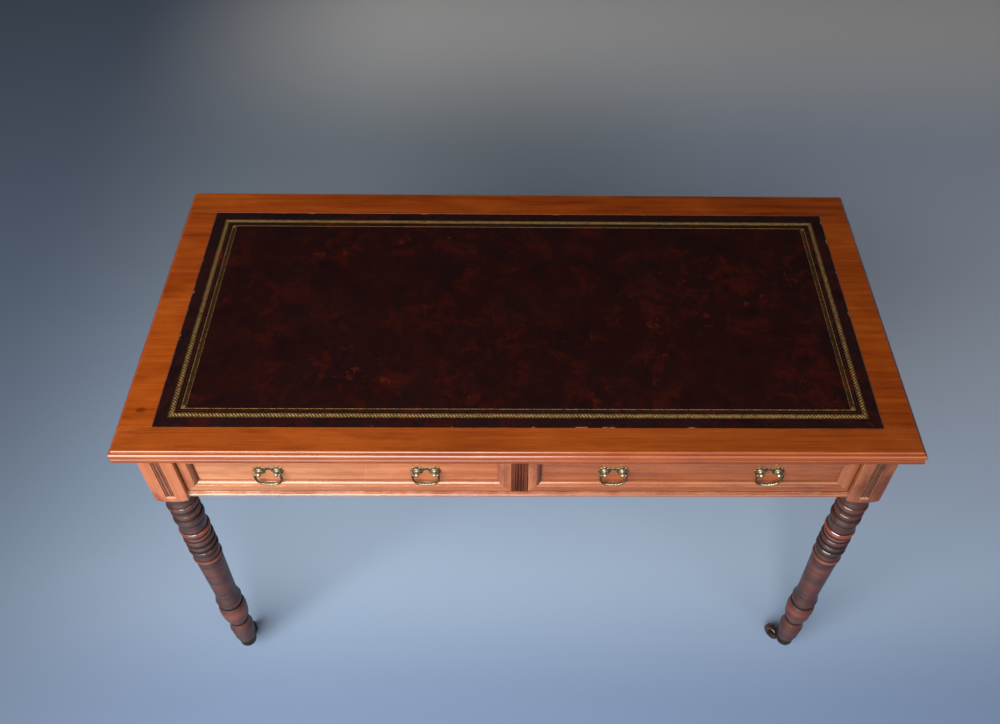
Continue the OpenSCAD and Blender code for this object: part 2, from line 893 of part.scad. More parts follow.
// Swinging bail: two pins, two arms that curve in, and a bowed and ringed grip below its pivot
module bail(i) {
    bow = asin(grip_l / 2 / grip_bend);
    sag = grip_bend * (1 - cos(bow));
    arm_bend = (arm_x - grip_l / 2) / (1 - sin(bow));
    bend_z = sag - bail_drop + arm_bend * cos(bow);
    pin_in = post_gap / 2 - knob_r + 0.5;
    ring_r = 1;
    ferrule_r = arm_r + 0.3;
    color(brass) translate([handle_mid[i], pivot_y, pivot_z]) {
        for (s = [0, 1]) mirror([s, 0, 0]) {
            translate([pin_in, 0, 0]) rotate([0, 90, 0]) cylinder(h = arm_x - pin_in, r = pin_r);
            translate([arm_x, 0, 0]) sphere(ferrule_r);
            translate([arm_x, 0, bend_z - 0.6]) cylinder(h = 0.6 - bend_z, r = ferrule_r);
            translate([arm_x - arm_bend, 0, bend_z]) bent_rod(arm_bend, arm_r, bow - 90, 90 - bow);
        }
        for (s = [-1, 1]) translate([s * grip_l / 2, 0, sag - bail_drop]) sphere(arm_r + 0.5);
        translate([0, 0, grip_bend - bail_drop]) bent_rod(grip_bend, grip_r - 0.4, -90 - bow, 2 * bow);
        for (k = [0 : grip_rings - 1]) translate([0, 0, grip_bend - bail_drop])
            rotate([0, bow * (1 - (2 * k + 1) / grip_rings), 0]) translate([0, 0, -grip_bend])
                rotate([0, 90, 0]) rotate_extrude() translate([grip_r - ring_r, 0]) circle(ring_r);
    }
}

module handle_plate_1() {
    handle_plate(0);
}

module handle_plate_2() {
    handle_plate(1);
}

module handle_plate_3() {
    handle_plate(2);
}

module handle_plate_4() {
    handle_plate(3);
}

module bail_1() {
    bail(0);
}

module bail_2() {
    bail(1);
}

module bail_3() {
    bail(2);
}

module bail_4() {
    bail(3);
}

// Places what belongs to one caster on its leg
module at_leg(i) {
    translate([corner[i].x * leg_x, corner[i].y * leg_y, 0]) children();
}

// Turns what follows the swivel to the angle at which this caster stands; the wheel trails along +Y
module at_swivel(i) {
    at_leg(i) rotate([0, 0, swivel[i]]) children();
}

// Brass cup under the toe, with the hole in which the pintle turns
module caster_cup(i) {
    color(brass) at_leg(i) difference() {
        union() {
            translate([0, 0, cup_z]) cylinder(h = cup_h, r1 = cup_r - cup_taper, r2 = cup_r);
            translate([0, 0, toe_z - cup_lip_h]) cylinder(h = cup_lip_h, r = cup_r + cup_step);
        }
        translate([0, 0, cup_z + disc_t]) cylinder(h = cup_h, r = cup_in_r);
        translate([0, 0, cup_z - past]) cylinder(h = disc_t + 2 * past, r = pintle_r + turn_fit);
    }
}

// Outline of one cheek of the horn: across is the distance behind the swivel axis, up is the height
module cheek_section() {
    axle_z = wheel_d / 2;
    polygon([
        [-crown_back, crown_z],
        [-crown_back, crown_z + crown_t],
        [trail / 2, crown_z + crown_t],
        [trail - 2, crown_z - 3],
        [trail + 4, axle_z + 7],
        [trail + 5, axle_z],
        [trail - 5, axle_z],
        [trail - 7, axle_z + 8],
        [trail / 3, crown_z],
    ]);
    translate([trail, axle_z]) circle(5);
}

// Brass horn: pintle, flange, crown and two cheeks that carry the axle
module caster_horn(i) {
    rivet_z = cup_z + disc_t + slide_fit;
    color(brass) at_swivel(i) difference() {
        union() {
            translate([0, 0, crown_z]) cylinder(h = crown_t + flange_t, r = 10);
            translate([0, 0, crown_z]) cylinder(h = rivet_z + rivet_t - crown_z, r = pintle_r);
            translate([0, 0, rivet_z]) cylinder(h = rivet_t, r = pintle_r + 2);
            translate([-cheek_in - cheek_t, -crown_back, crown_z])
                cube([2 * (cheek_in + cheek_t), trail / 2 + crown_back, crown_t]);
            for (s = [-1, 1]) translate([s * (cheek_in + cheek_t / 2) - cheek_t / 2, 0, 0])
                rotate([90, 0, 90]) linear_extrude(cheek_t) cheek_section();
        }
        translate([-20, trail, wheel_d / 2]) rotate([0, 90, 0]) cylinder(h = 40, r = axle_r + 0.02);
    }
}

// Riveted axle of the wheel
module caster_axle(i) {
    half = cheek_in + cheek_t + joint_fit;
    head_t = 1.2;
    color(brass) at_swivel(i) translate([0, trail, wheel_d / 2]) rotate([0, 90, 0]) {
        cylinder(h = 2 * half, r = axle_r, center = true);
        for (s = [-1, 1]) translate([0, 0, s * (half + head_t / 2)])
            cylinder(h = head_t, r = axle_r + 1.3, center = true);
    }
}

// Glazed wheel with rounded edges and a hub on each side
module caster_wheel(i) {
    edge = wheel_w / 4;
    half = wheel_w / 2;
    color(glaze) at_swivel(i) translate([0, trail, wheel_d / 2]) rotate([0, 90, 0]) rotate_extrude()
        difference() {
            union() {
                translate([0, -half + edge]) square([wheel_d / 2, wheel_w - 2 * edge]);
                translate([0, -half + 1]) square([wheel_d / 2 - edge, wheel_w - 2]);
                for (s = [-1, 1]) translate([wheel_d / 2 - edge, s * (half - edge)]) circle(edge);
                translate([0, -half]) square([axle_r + 3.5, wheel_w]);
            }
            translate([-past, -wheel_w]) square([axle_r + turn_fit + past, 2 * wheel_w]);
        }
}

module caster_cup_front_left() {
    caster_cup(0);
}

module caster_cup_front_right() {
    caster_cup(1);
}

module caster_cup_back_left() {
    caster_cup(2);
}

module caster_cup_back_right() {
    caster_cup(3);
}

module caster_horn_front_left() {
    caster_horn(0);
}

module caster_horn_front_right() {
    caster_horn(1);
}

module caster_horn_back_left() {
    caster_horn(2);
}

module caster_horn_back_right() {
    caster_horn(3);
}

module caster_axle_front_left() {
    caster_axle(0);
}

module caster_axle_front_right() {
    caster_axle(1);
}

module caster_axle_back_left() {
    caster_axle(2);
}

module caster_axle_back_right() {
    caster_axle(3);
}

module caster_wheel_front_left() {
    caster_wheel(0);
}

module caster_wheel_front_right() {
    caster_wheel(1);
}

module caster_wheel_back_left() {
    caster_wheel(2);
}

module caster_wheel_back_right() {
    caster_wheel(3);
}

top_front_board();
top_centre_board();
top_back_board();
leather_panel();
leg_front_left();
leg_front_right();
leg_back_left();
leg_back_right();
front_bottom_rail();
front_top_rail();
centre_stile();
left_rail();
right_rail();
back_rail();
left_runner();
right_runner();
centre_runner();
kickers();
drawer_stops();
glue_blocks();
top_screws();
left_drawer_front();
left_drawer_frame();
left_drawer_outer_side();
left_drawer_inner_side();
left_drawer_back();
left_drawer_bottom();
left_handle_nuts();
right_drawer_front();
right_drawer_frame();
right_drawer_outer_side();
right_drawer_inner_side();
right_drawer_back();
right_drawer_bottom();
right_handle_nuts();
handle_plate_1();
handle_plate_2();
handle_plate_3();
handle_plate_4();
bail_1();
bail_2();
bail_3();
bail_4();
caster_cup_front_left();
caster_cup_front_right();
caster_cup_back_left();
caster_cup_back_right();
caster_horn_front_left();
caster_horn_front_right();
caster_horn_back_left();
caster_horn_back_right();
caster_axle_front_left();
caster_axle_front_right();
caster_axle_back_left();
caster_axle_back_right();
caster_wheel_front_left();
caster_wheel_front_right();
caster_wheel_back_left();
caster_wheel_back_right();
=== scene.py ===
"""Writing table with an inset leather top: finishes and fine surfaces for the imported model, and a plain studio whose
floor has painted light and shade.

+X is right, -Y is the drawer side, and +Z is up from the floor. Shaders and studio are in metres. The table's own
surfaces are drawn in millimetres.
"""

import json
import logging
import math
from collections.abc import Callable
from dataclasses import dataclass, field, replace
from enum import Enum

import bmesh
import bpy
import numpy as np
from mathutils import Matrix, Vector

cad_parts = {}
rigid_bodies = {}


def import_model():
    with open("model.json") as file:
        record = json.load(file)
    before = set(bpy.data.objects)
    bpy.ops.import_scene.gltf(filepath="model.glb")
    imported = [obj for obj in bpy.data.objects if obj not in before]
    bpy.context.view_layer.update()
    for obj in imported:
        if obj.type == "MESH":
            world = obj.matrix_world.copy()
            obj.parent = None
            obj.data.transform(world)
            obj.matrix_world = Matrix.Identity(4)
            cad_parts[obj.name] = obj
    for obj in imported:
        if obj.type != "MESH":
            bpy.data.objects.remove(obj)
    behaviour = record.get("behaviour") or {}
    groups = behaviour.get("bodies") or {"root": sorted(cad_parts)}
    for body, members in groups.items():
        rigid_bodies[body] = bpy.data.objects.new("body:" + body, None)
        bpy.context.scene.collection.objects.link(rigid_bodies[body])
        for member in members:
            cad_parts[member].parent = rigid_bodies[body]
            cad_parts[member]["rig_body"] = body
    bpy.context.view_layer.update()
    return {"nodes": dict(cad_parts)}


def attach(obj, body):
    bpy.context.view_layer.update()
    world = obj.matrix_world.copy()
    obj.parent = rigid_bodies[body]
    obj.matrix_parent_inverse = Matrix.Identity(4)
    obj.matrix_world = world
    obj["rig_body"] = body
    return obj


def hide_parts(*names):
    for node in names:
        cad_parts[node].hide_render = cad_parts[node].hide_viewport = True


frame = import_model()

log = logging.getLogger("writing_table")
Array = np.ndarray
Triple = tuple[float, float, float]
Group = bpy.types.NodeTree
MM = 0.001
MM_PER_M = 1000.0
BLACK = (0.0, 0.0, 0.0)
BUMP_HEIGHT = 0.0002
CORNERS = ("front_left", "front_right", "back_left", "back_right")


# Shader building


def step(operation: str, before: bool = False) -> Callable[..., "Wire"]:
    """A method of Wire that adds one Math node.

    Args:
        operation: the node's operation.
        before: puts the other value before the wire's own.

    Returns:
        The method.
    """

    def method(self: "Wire", other: object = 0.0) -> "Wire":
        """The operation on this wire and the other value."""
        return self.tree.math(operation, *((other, self) if before else (self, other)))

    return method


class Wire:
    """What leaves a node. Arithmetic on it adds Math nodes, and its methods add other nodes to the same tree."""

    __add__, __radd__ = step("ADD"), step("ADD", before=True)
    __sub__, __rsub__ = step("SUBTRACT"), step("SUBTRACT", before=True)
    __mul__, __truediv__, __abs__ = step("MULTIPLY"), step("DIVIDE"), step("ABSOLUTE")
    least, most = step("MINIMUM"), step("MAXIMUM")

    def __init__(self, tree: "Tree", socket: bpy.types.NodeSocket) -> None:
        """Keeps the tree and the socket."""
        self.tree, self.socket = tree, socket

    def scaled(self, factor: float, offset: object) -> "Wire":
        """The product with a factor, plus an offset."""
        return self.tree.math("MULTIPLY_ADD", self, factor, offset)

    def clamped(self) -> "Wire":
        """Holds the result of this Math node between 0 and 1."""
        self.socket.node.use_clamp = True
        return self

    def vector(self, operation: str, other: object) -> "Wire":
        """One arithmetic step on vectors."""
        return self.tree.out("VectorMath", {0: self, 1: other}, operation=operation)

    def axes(self) -> list["Wire"]:
        """The three numbers of this vector."""
        return [Wire(self.tree, part) for part in self.tree.node("SeparateXYZ", {0: self}).outputs]

    def noise(self, scale: float | Triple, detail: float = 3.0, rough: float = 0.5, bend: float = 0.0) -> "Wire":
        """Smooth noise between 0 and 1 at this place, which a triple of scales stretches along its axes."""
        place, size = (self.vector("MULTIPLY", scale), 1.0) if isinstance(scale, tuple) else (self, scale)
        inputs = {"Vector": place, "Scale": size, "Detail": detail, "Roughness": rough, "Distortion": bend}
        return self.tree.out("TexNoise", inputs, "Fac")

    def span(self, low: float, high: float, to_low: float = 0.0, to_high: float = 1.0) -> "Wire":
        """Eases this number from one span to another and holds it at the ends."""
        limits = {"Value": self, "From Min": low, "From Max": high, "To Min": to_low, "To Max": to_high}
        return self.tree.out("MapRange", limits, "Result", interpolation_type="SMOOTHSTEP")

    def mix(self, a: object, b: object, blend: str = "MIX") -> "Wire":
        """Mixes two colours, with this as the share of the second."""
        return self.tree.out("Mix", {0: self, 6: a, 7: b}, 2, data_type="RGBA", blend_type=blend)

    def ramp(self, stops: list[tuple[float, Triple]]) -> "Wire":
        """Turns this number into a colour along the given stops."""
        node = self.tree.node("ValToRGB", {"Fac": self})
        points = node.color_ramp.elements
        while len(points) < len(stops):
            points.new(0.5)
        for point, (place, colour) in zip(points, stops):
            point.position = place
            point.color = (*colour, 1.0)
        return Wire(self.tree, node.outputs["Color"])


@dataclass
class Tree:
    """A shader node tree with short calls that add nodes, and the node that its results go to."""

    tree: Group
    goal: bpy.types.Node | None = None

    def node(self, kind: str, inputs: dict | None = None, **settings: object) -> bpy.types.Node:
        """Adds one node.

        Args:
            kind: the node's type without its ShaderNode prefix.
            inputs: values or wires by input name or number.
            settings: the node's own properties.

        Returns:
            The new node.
        """
        node = self.tree.nodes.new("ShaderNode" + kind)
        for key, value in settings.items():
            setattr(node, key, value)
        self.feed(node, inputs or {})
        return node

    def feed(self, node: bpy.types.Node, inputs: dict) -> None:
        """Links wires to a node's inputs, and sets the other inputs' own values."""
        for key, value in inputs.items():
            socket = node.inputs[key]
            if isinstance(value, Wire):
                self.tree.links.new(value.socket, socket)
            else:
                socket.default_value = (*value, 1.0) if socket.type == "RGBA" and len(value) == 3 else value

    def out(self, kind: str, inputs: dict | None = None, output: int | str = 0, **settings: object) -> Wire:
        """Adds one node and gives back one of its outputs."""
        return Wire(self, self.node(kind, inputs, **settings).outputs[output])

    def math(self, operation: str, a: object, b: object = 0.0, c: object = 0.0) -> Wire:
        """One arithmetic step on numbers."""
        return self.out("Math", {0: a, 1: b, 2: c}, operation=operation)

    def here(self) -> Wire:
        """The place on the piece."""
        return self.out("TexCoord", output="Object")

    def attribute(self, title: str) -> Wire:
        """A number stored in the mesh."""
        return self.out("Attribute", output="Fac", attribute_name=title)

    def group(self, group: Group, *inputs: object) -> list[Wire]:
        """Adds a node group, feeds its inputs in their order, and gives back its outputs."""
        node = self.node("Group", dict(enumerate(inputs)), node_tree=group)
        return [Wire(self, socket) for socket in node.outputs]

    def bump(self, height: Wire, strength: float, normal: Wire | None = None) -> Wire:
        """A normal bent by a height, over a normal that is already bent if there is one."""
        inputs = {"Height": height, "Strength": strength, "Distance": BUMP_HEIGHT}
        return self.out("Bump", inputs | ({"Normal": normal} if normal else {}))

    def give(self, **results: object) -> Group:
        """Feeds the goal, by input names with _ for a space, and gives back the tree."""
        self.feed(self.goal, {title.replace("_", " "): value for title, value in results.items()})
        return self.tree


def new_group(name: str, inputs: tuple[str, ...], outputs: tuple[str, ...]) -> tuple[Tree, list[Wire]]:
    """Starts a node group. Sockets called Vector or Normal hold vectors, and all others numbers.

    Args:
        name: the group's name.
        inputs: the names of its inputs.
        outputs: the names of its outputs.

    Returns:
        The group's tree, and a wire from each input.
    """
    group = bpy.data.node_groups.new(name, "ShaderNodeTree")
    for way, titles in (("INPUT", inputs), ("OUTPUT", outputs)):
        for title in titles:
            kind = "NodeSocketVector" if title in ("Vector", "Normal") else "NodeSocketFloat"
            group.interface.new_socket(title, in_out=way, socket_type=kind)
    entry = group.nodes.new("NodeGroupInput")
    tree = Tree(group, group.nodes.new("NodeGroupOutput"))
    return tree, [Wire(tree, entry.outputs[title]) for title in inputs]


def new_material(name: str) -> tuple[bpy.types.Material, Tree]:
    """Starts a material with a Principled BSDF.

    Args:
        name: the material's name.

    Returns:
        The material, and its tree, whose goal is the shader.
    """
    material = bpy.data.materials.new(name)
    material.use_nodes = True
    material.node_tree.nodes.clear()
    tree = Tree(material.node_tree)
    surface = tree.out("BsdfPrincipled")
    tree.node("OutputMaterial", {"Surface": surface})
    tree.goal = surface.socket.node
    return material, tree


def lay(ground: Triple | Wire, *layers: tuple[Wire, Triple]) -> Triple | Wire:
    """Lays colours over a ground one after another, each by its own share."""
    for share, colour in layers:
        ground = share.mix(ground, colour)
    return ground


class Effects:
    """Shader node groups that several finishes share, each built once."""

    def __init__(self) -> None:
        """Builds every group."""
        self.figure = self.build_figure()
        self.arris = self.build_arris()
        self.dirt_and_hollow_shade = self.build_dirt_and_hollow_shade()
        self.scratches = self.build_scratches()
        self.tooling = self.build_tooling()

    def build_figure(self, pith_depth: float = 0.13, mean_tone: float = 0.585) -> Group:
        """Timber figure along X: rings round a pith below the board, bent by slow noise, with fibres and pores."""
        inputs = ("Vector", "Ring Spacing", "Bend", "Contrast")
        tree, (place, spacing, bend, contrast) = new_group("timber_figure", inputs, ("Tone", "Fibre", "Pores"))
        sway = (place.noise((1.1, 3.2, 3.2)) - 0.5) * bend
        _, y, z = place.axes()
        across = y + sway * 3.0
        deep = z + pith_depth + sway
        reach = tree.math("SQRT", across * across + deep * deep)
        rings = tree.math("SINE", reach / spacing * math.tau)
        stripes = place.noise((3.5, 110.0, 110.0), 4.0, 0.6)
        cloud = place.noise((5.0, 13.0, 13.0), 5.0, 0.58, 0.6)
        tone = rings.scaled(0.045, stripes.scaled(0.42, cloud * 0.75))
        fibre = place.noise((14.0, 420.0, 420.0), 3.0, 0.65)
        pores = place.noise((42.0, 900.0, 900.0), 1.0, 0.4).span(0.62, 0.72)
        return tree.give(Tone=((tone - mean_tone) * contrast + 0.5).clamped(), Fibre=fibre, Pores=pores)

    def build_arris(self, eased: float = 0.0006) -> Group:
        """Wear along edges: how far the rounded normal turns from the face's own, broken up by noise."""
        tree, (place, reach, amount) = new_group("arris_wear", ("Vector", "Reach", "Amount"), ("Worn", "Normal"))
        rounded, soft = (tree.out("Bevel", {"Radius": radius}, samples=4) for radius in (reach, eased))
        true = tree.out("NewGeometry", output="Normal")
        turned = 1.0 - tree.out("VectorMath", {0: rounded, 1: true}, "Value", operation="DOT_PRODUCT")
        worn = turned.span(0.004, 0.16) * place.noise(38.0, 4.0, 0.6).span(0.38, 0.62)
        return tree.give(Worn=(worn * amount).clamped(), Normal=soft)

    def build_dirt_and_hollow_shade(self) -> Group:
        """Old wax and dirt in hollows, with painted shade there: what little sky a place sees within a short reach,
        made uneven by noise.
        """
        tree, (place, reach, amount) = new_group("hollow_dirt_and_shade", ("Vector", "Reach", "Amount"), ("Dirt",))
        sky = tree.out("AmbientOcclusion", {"Distance": reach}, "AO", samples=6)
        uneven = place.noise(30.0, 4.0, 0.6).scaled(0.8, 0.55)
        return tree.give(Dirt=((1.0 - sky.span(0.25, 0.92)) * uneven * amount).clamped())

    def build_scratches(self) -> Group:
        """Fine scratches: thin ridges of stretched noise in three directions, thinned out by a slow mask."""
        tree, (place, amount) = new_group("fine_scratches", ("Vector", "Amount"), ("Lines",))
        total: float | Wire = 0.0
        for turn, stretch in ((0.3, 26.0), (1.25, 34.0), (2.2, 21.0)):
            turned = tree.out("VectorRotate", {"Vector": place, "Angle": turn}, rotation_type="Z_AXIS")
            ridge = abs(turned.noise((3.0, stretch * 8.0, stretch), 2.0) - 0.5)
            patch = place.noise(5.0 + stretch / 4.0).span(0.54, 0.68)
            total = total + ridge.span(0.0, 0.006, 1.0, 0.0) * patch
        return tree.give(Lines=(total * amount).clamped())

    def build_tooling(self) -> Group:
        """Gilt tooling at a distance from the leather's edge, in mm: a wide roll of slanted strokes between two
        beaded edges, a row of dots, a thin line, a second line with a haze along the sides only, and a lozenge in
        each corner."""
        inputs = ("Along", "In", "Corner", "Side")
        tree, (along, inward, corner, at_side) = new_group("gilt_tooling", inputs, ("Gilt",))

        def line(value: Wire, centre: float, half: float) -> Wire:
            """A soft-edged line where a value lies near its centre."""
            return abs(value - centre).span(half * 0.6, half * 1.4, 1.0, 0.0)

        def beat(value: Wire, period: float, half: float) -> Wire:
            """A soft-edged pulse that comes back once a period."""
            return line(tree.math("FRACT", value / period), 0.5, half)

        roll_at, half_roll, dots_at, line_at, haze_at, second_at = 22.7, 3.5, 31.0, 35.3, 38.9, 42.2
        offset = inward - roll_at
        slanted = beat(along + offset * 0.9, 5.2, 0.22).scaled(1.0, 0.12)
        strokes = slanted * abs(offset).span(0.8, half_roll, 1.0, 0.3) * line(offset, 0.0, half_roll - 0.6)
        rims = line(inward, roll_at - half_roll, 0.8).most(line(inward, roll_at + half_roll, 0.8))
        rims = rims * beat(along, 2.6, 0.3).scaled(0.2, 0.06)
        dots = line(inward, dots_at, 0.6) * beat(along, 2.3, 0.26) * 0.10
        thin = line(inward, line_at, 0.6) * 0.5
        second = (line(inward, second_at, 0.5) * 0.4).most(line(inward, haze_at, 3.0) * 0.07) * at_side
        lozenge = corner.span(2.6, 5.2, 1.0, 0.0) * 0.45
        gilt = strokes.most(rims).most(thin.most(dots).most(second)).most(lozenge)
        return tree.give(Gilt=gilt.clamped())


# Finishes


class Grain(Enum):
    """The way the grain runs, with the turn about each axis that lays it along X."""

    ACROSS_WIDTH = (0.0, 0.0, 0.0)
    FRONT_TO_BACK = (0.0, 0.0, math.pi / 2)
    UPRIGHT = (0.0, math.pi / 2, 0.0)


@dataclass(frozen=True)
class Timber:
    """A timber with its polish: colours from the hollows to the crests, figure, gloss, wear, old marks, and painted
    shade and sheen.
    """

    name: str
    dark: Triple
    middle: Triple
    light: Triple
    worn: Triple
    grain: Grain = Grain.ACROSS_WIDTH
    ring_spacing: float = 0.016
    bend: float = 0.05
    roughness: float = 0.34
    polish: float = 0.45
    wear: float = 0.6
    wear_reach: float = 0.0018
    dirt_and_shade: float = 0.75
    dirt_and_shade_reach: float = 0.012
    scratches: float = 0.35
    crest: float = 0.0
    contrast: float = 1.0
    smudge: float = 0.0
    smudge_scale: float = 22.0
    painted_right_shade: float = 0.0
    pores: float = 0.45
    gloss: float = 0.09
    specular: float = 0.4
    anisotropy: float = 0.0
    coat_ior: float = 1.5
    shift: Triple = (0.0, 0.0, 0.0)
    seed_shift: Triple = (1.7, 0.61, 0.23)
    marks: tuple[tuple[Triple, Triple], ...] = ()
    mark_strength: float = 0.9
    painted_left_sheen: Triple | None = None

    def dimmed(self, share: float) -> Triple:
        """The darkest colour, dimmed to a share."""
        return tuple(part * share for part in self.dark)

    def build(self, effects: Effects) -> bpy.types.Material:
        """Builds the material.

        Args:
            effects: the shared node groups.

        Returns:
            The finished material.
        """
        material, tree = new_material(self.name)
        here = tree.here()
        seed = tree.attribute("seed")
        strewn = tree.out("CombineXYZ", {0: seed, 1: seed, 2: seed}).vector("MULTIPLY", self.seed_shift)
        turn = {"Vector": here.vector("ADD", strewn), "Location": self.shift, "Rotation": self.grain.value}
        laid = tree.out("Mapping", turn)
        tone, fibre, pores = tree.group(effects.figure, laid, self.ring_spacing, self.bend, self.contrast)
        worn, soft = tree.group(effects.arris, here, self.wear_reach, self.wear)
        # Dirt and painted shade: darker where a place sees little sky within a short reach
        (dirt_and_shade,) = tree.group(effects.dirt_and_hollow_shade, here, self.dirt_and_shade_reach, self.dirt_and_shade)
        (lines,) = tree.group(effects.scratches, here, self.scratches)

        layers = [(fibre.span(0.35, 0.65, 0.0, 0.35), self.light), (pores * self.pores, self.dimmed(0.35))]
        if self.smudge:
            blot = laid.vector("MULTIPLY", (0.45, 1.0, 1.0)).noise(self.smudge_scale, 5.0, 0.62)
            layers.append((blot.span(0.47, 0.70, 0.0, self.smudge), self.dimmed(0.55)))
        sunk: float | Wire = 0.0
        # Crest tones: the worn colour where positive, for rubbed wear and a painted highlight on the reeding's ledge;
        # darker where negative, for painted shade on the top's lower torus, in the leg blocks' reeding and on the
        # drawer ovolos, and darker at the leather's bed and in the shafts' hollows
        if self.crest:
            proud = tree.attribute("crest")
            patchy = here.vector("MULTIPLY", (1.0, 1.0, 1.8)).noise(34.0, 4.0, 0.6)
            rubbed = proud.span(0.03, 0.95) * patchy.span(0.3, 0.56, 0.3, 1.0)
            sunk = (proud * -1.0).span(0.05, 0.7, 0.0, 0.9)
            layers += [(rubbed * self.crest, self.worn), (sunk, self.dimmed(0.2))]
        for centre, radii in self.marks:
            away = here.vector("SUBTRACT", centre).vector("DIVIDE", radii)
            reach = tree.out("VectorMath", {0: away}, "Value", operation="LENGTH")
            ragged = here.noise(160.0).scaled(0.9, reach)
            layers.append((ragged.span(0.7, 1.5, self.mark_strength, 0.0), self.dimmed(0.3)))
        layers += [(worn, self.worn), (lines * 0.5, self.worn), (dirt_and_shade, self.dimmed(0.16))]
        # Painted shade: darker towards the right, away from the lamp
        if self.painted_right_shade:
            layers.append((here.axes()[0].span(-0.55, 0.65, 0.0, self.painted_right_shade), BLACK))
        base = lay(tone.ramp([(0.15, self.dark), (0.5, self.middle), (0.85, self.light)]), *layers)
        # Painted sheen: paler, cooler colour on the left, where the lamp's light falls
        if self.painted_left_sheen:
            base = here.axes()[0].span(-0.42, -0.05, 1.0, 0.0).mix(base, self.painted_left_sheen, "MULTIPLY")

        smear = here.noise(9.0, 4.0, 0.6)
        rough = smear.scaled(0.22, self.roughness - 0.11) + lines * 0.25
        rough = (tree.math("MULTIPLY_ADD", sunk, 0.9, rough) + dirt_and_shade * 0.2).clamped()
        if self.anisotropy:
            turned = here.noise((9.0, 9.0, 130.0), 3.0, 0.6).span(0.40, 0.62, 0.0, 0.30)
            rough = proud.most(0.0).scaled(0.25, (rough + turned).clamped()).clamped()
            tree.give(Anisotropic=self.anisotropy, Tangent=tree.out("CombineXYZ", {2: 1.0}))
        polish = smear.span(0.2, 0.8, self.polish * 0.7, self.polish)
        bare = tree.math("MULTIPLY_ADD", sunk, -2.5, 1.0).clamped()
        height = fibre * 0.35 + pores * -0.5 - lines * 0.5
        tree.give(
            Base_Color=base, Roughness=rough, Specular_IOR_Level=self.specular, Coat_Roughness=self.gloss,
            Coat_IOR=self.coat_ior, Coat_Weight=polish * bare, Normal=tree.bump(height, 0.25, soft),
        )
        return material


@dataclass(frozen=True)
class Hide:
    """Dark skiver leather with red mottling, rubbed spots, and a gilt tooled border."""

    name: str
    half_width: float
    front_y: float
    back_y: float
    lozenge_at: float = 0.0385
    ground: Triple = (0.0115, 0.0019, 0.0013)
    mottle: Triple = (0.0340, 0.0033, 0.0013)
    shade: Triple = (0.0060, 0.0015, 0.0019)
    rubbed: Triple = (0.085, 0.010, 0.004)
    margin: Triple = (0.0115, 0.0036, 0.0034)
    gilt: Triple = (0.50, 0.31, 0.105)
    bare_edge: Triple = (0.40, 0.17, 0.12)

    def build(self, effects: Effects) -> bpy.types.Material:
        """Builds the material; distances inward are the least of those to the sides, the front and the back."""
        material, tree = new_material(self.name)
        here = tree.here()
        x, y, _ = here.axes()
        side = self.half_width - abs(x)
        depth = (y - self.front_y).least(self.back_y - y)
        inward = side.least(depth)
        at_side = tree.math("LESS_THAN", side, depth)
        along = y * at_side + x * (1.0 - at_side)
        corner = abs(side - self.lozenge_at) + abs(depth - self.lozenge_at)
        millimetres = (value * MM_PER_M for value in (along, inward, corner))
        (tooled,) = tree.group(effects.tooling, *millimetres, at_side)
        (lines,) = tree.group(effects.scratches, here, 0.5)
        left = here.noise(190.0, 5.0, 0.75).span(0.32, 0.62, 0.25, 1.0)
        gilt = tooled * (left * at_side.scaled(-0.38, 1.0))

        cloud = here.noise(7.0, 9.0, 0.70, 0.5)
        blotch = here.noise(23.0, 7.0, 0.72, 0.8).span(0.47, 0.60) * cloud.span(0.40, 0.58, 0.25, 1.0)
        shade = here.vector("ADD", (3.1, 1.7, 0.0)).noise(17.0, 8.0, 0.70, 0.4)
        spots = here.noise(36.0, 5.0, 0.65).span(0.61, 0.69) * cloud.span(0.47, 0.58)
        speck = here.noise(210.0, 3.0, 0.65)
        ragged = inward.span(0.0, 0.0025, 1.0, 0.0) * here.noise(38.0, 4.0).span(0.59, 0.66)
        colour = lay(
            inward.span(0.0155, 0.0170).mix(self.margin, self.ground),
            (blotch * 0.75, self.mottle), (shade.span(0.49, 0.64, 0.0, 0.75), self.shade),
            (spots * 0.5, self.rubbed), (speck.span(0.40, 0.70, 0.0, 0.45), self.shade),
            (lines * 0.35, self.rubbed), (ragged * 0.8, self.bare_edge), (gilt, self.gilt),
        )

        rough = here.noise(11.0, 4.0, 0.6).scaled(0.25, 0.42) + gilt * 0.08
        pores = tree.out("TexVoronoi", {"Vector": here, "Scale": 900.0}, "Distance", feature="DISTANCE_TO_EDGE")
        height = pores.span(0.0, 0.12) * 0.5 - tooled * 0.9
        tree.give(
            Base_Color=colour, Metallic=gilt * 0.3, Specular_IOR_Level=0.10, Roughness=rough.clamped(),
            Normal=tree.bump(height, 0.35),
        )
        return material


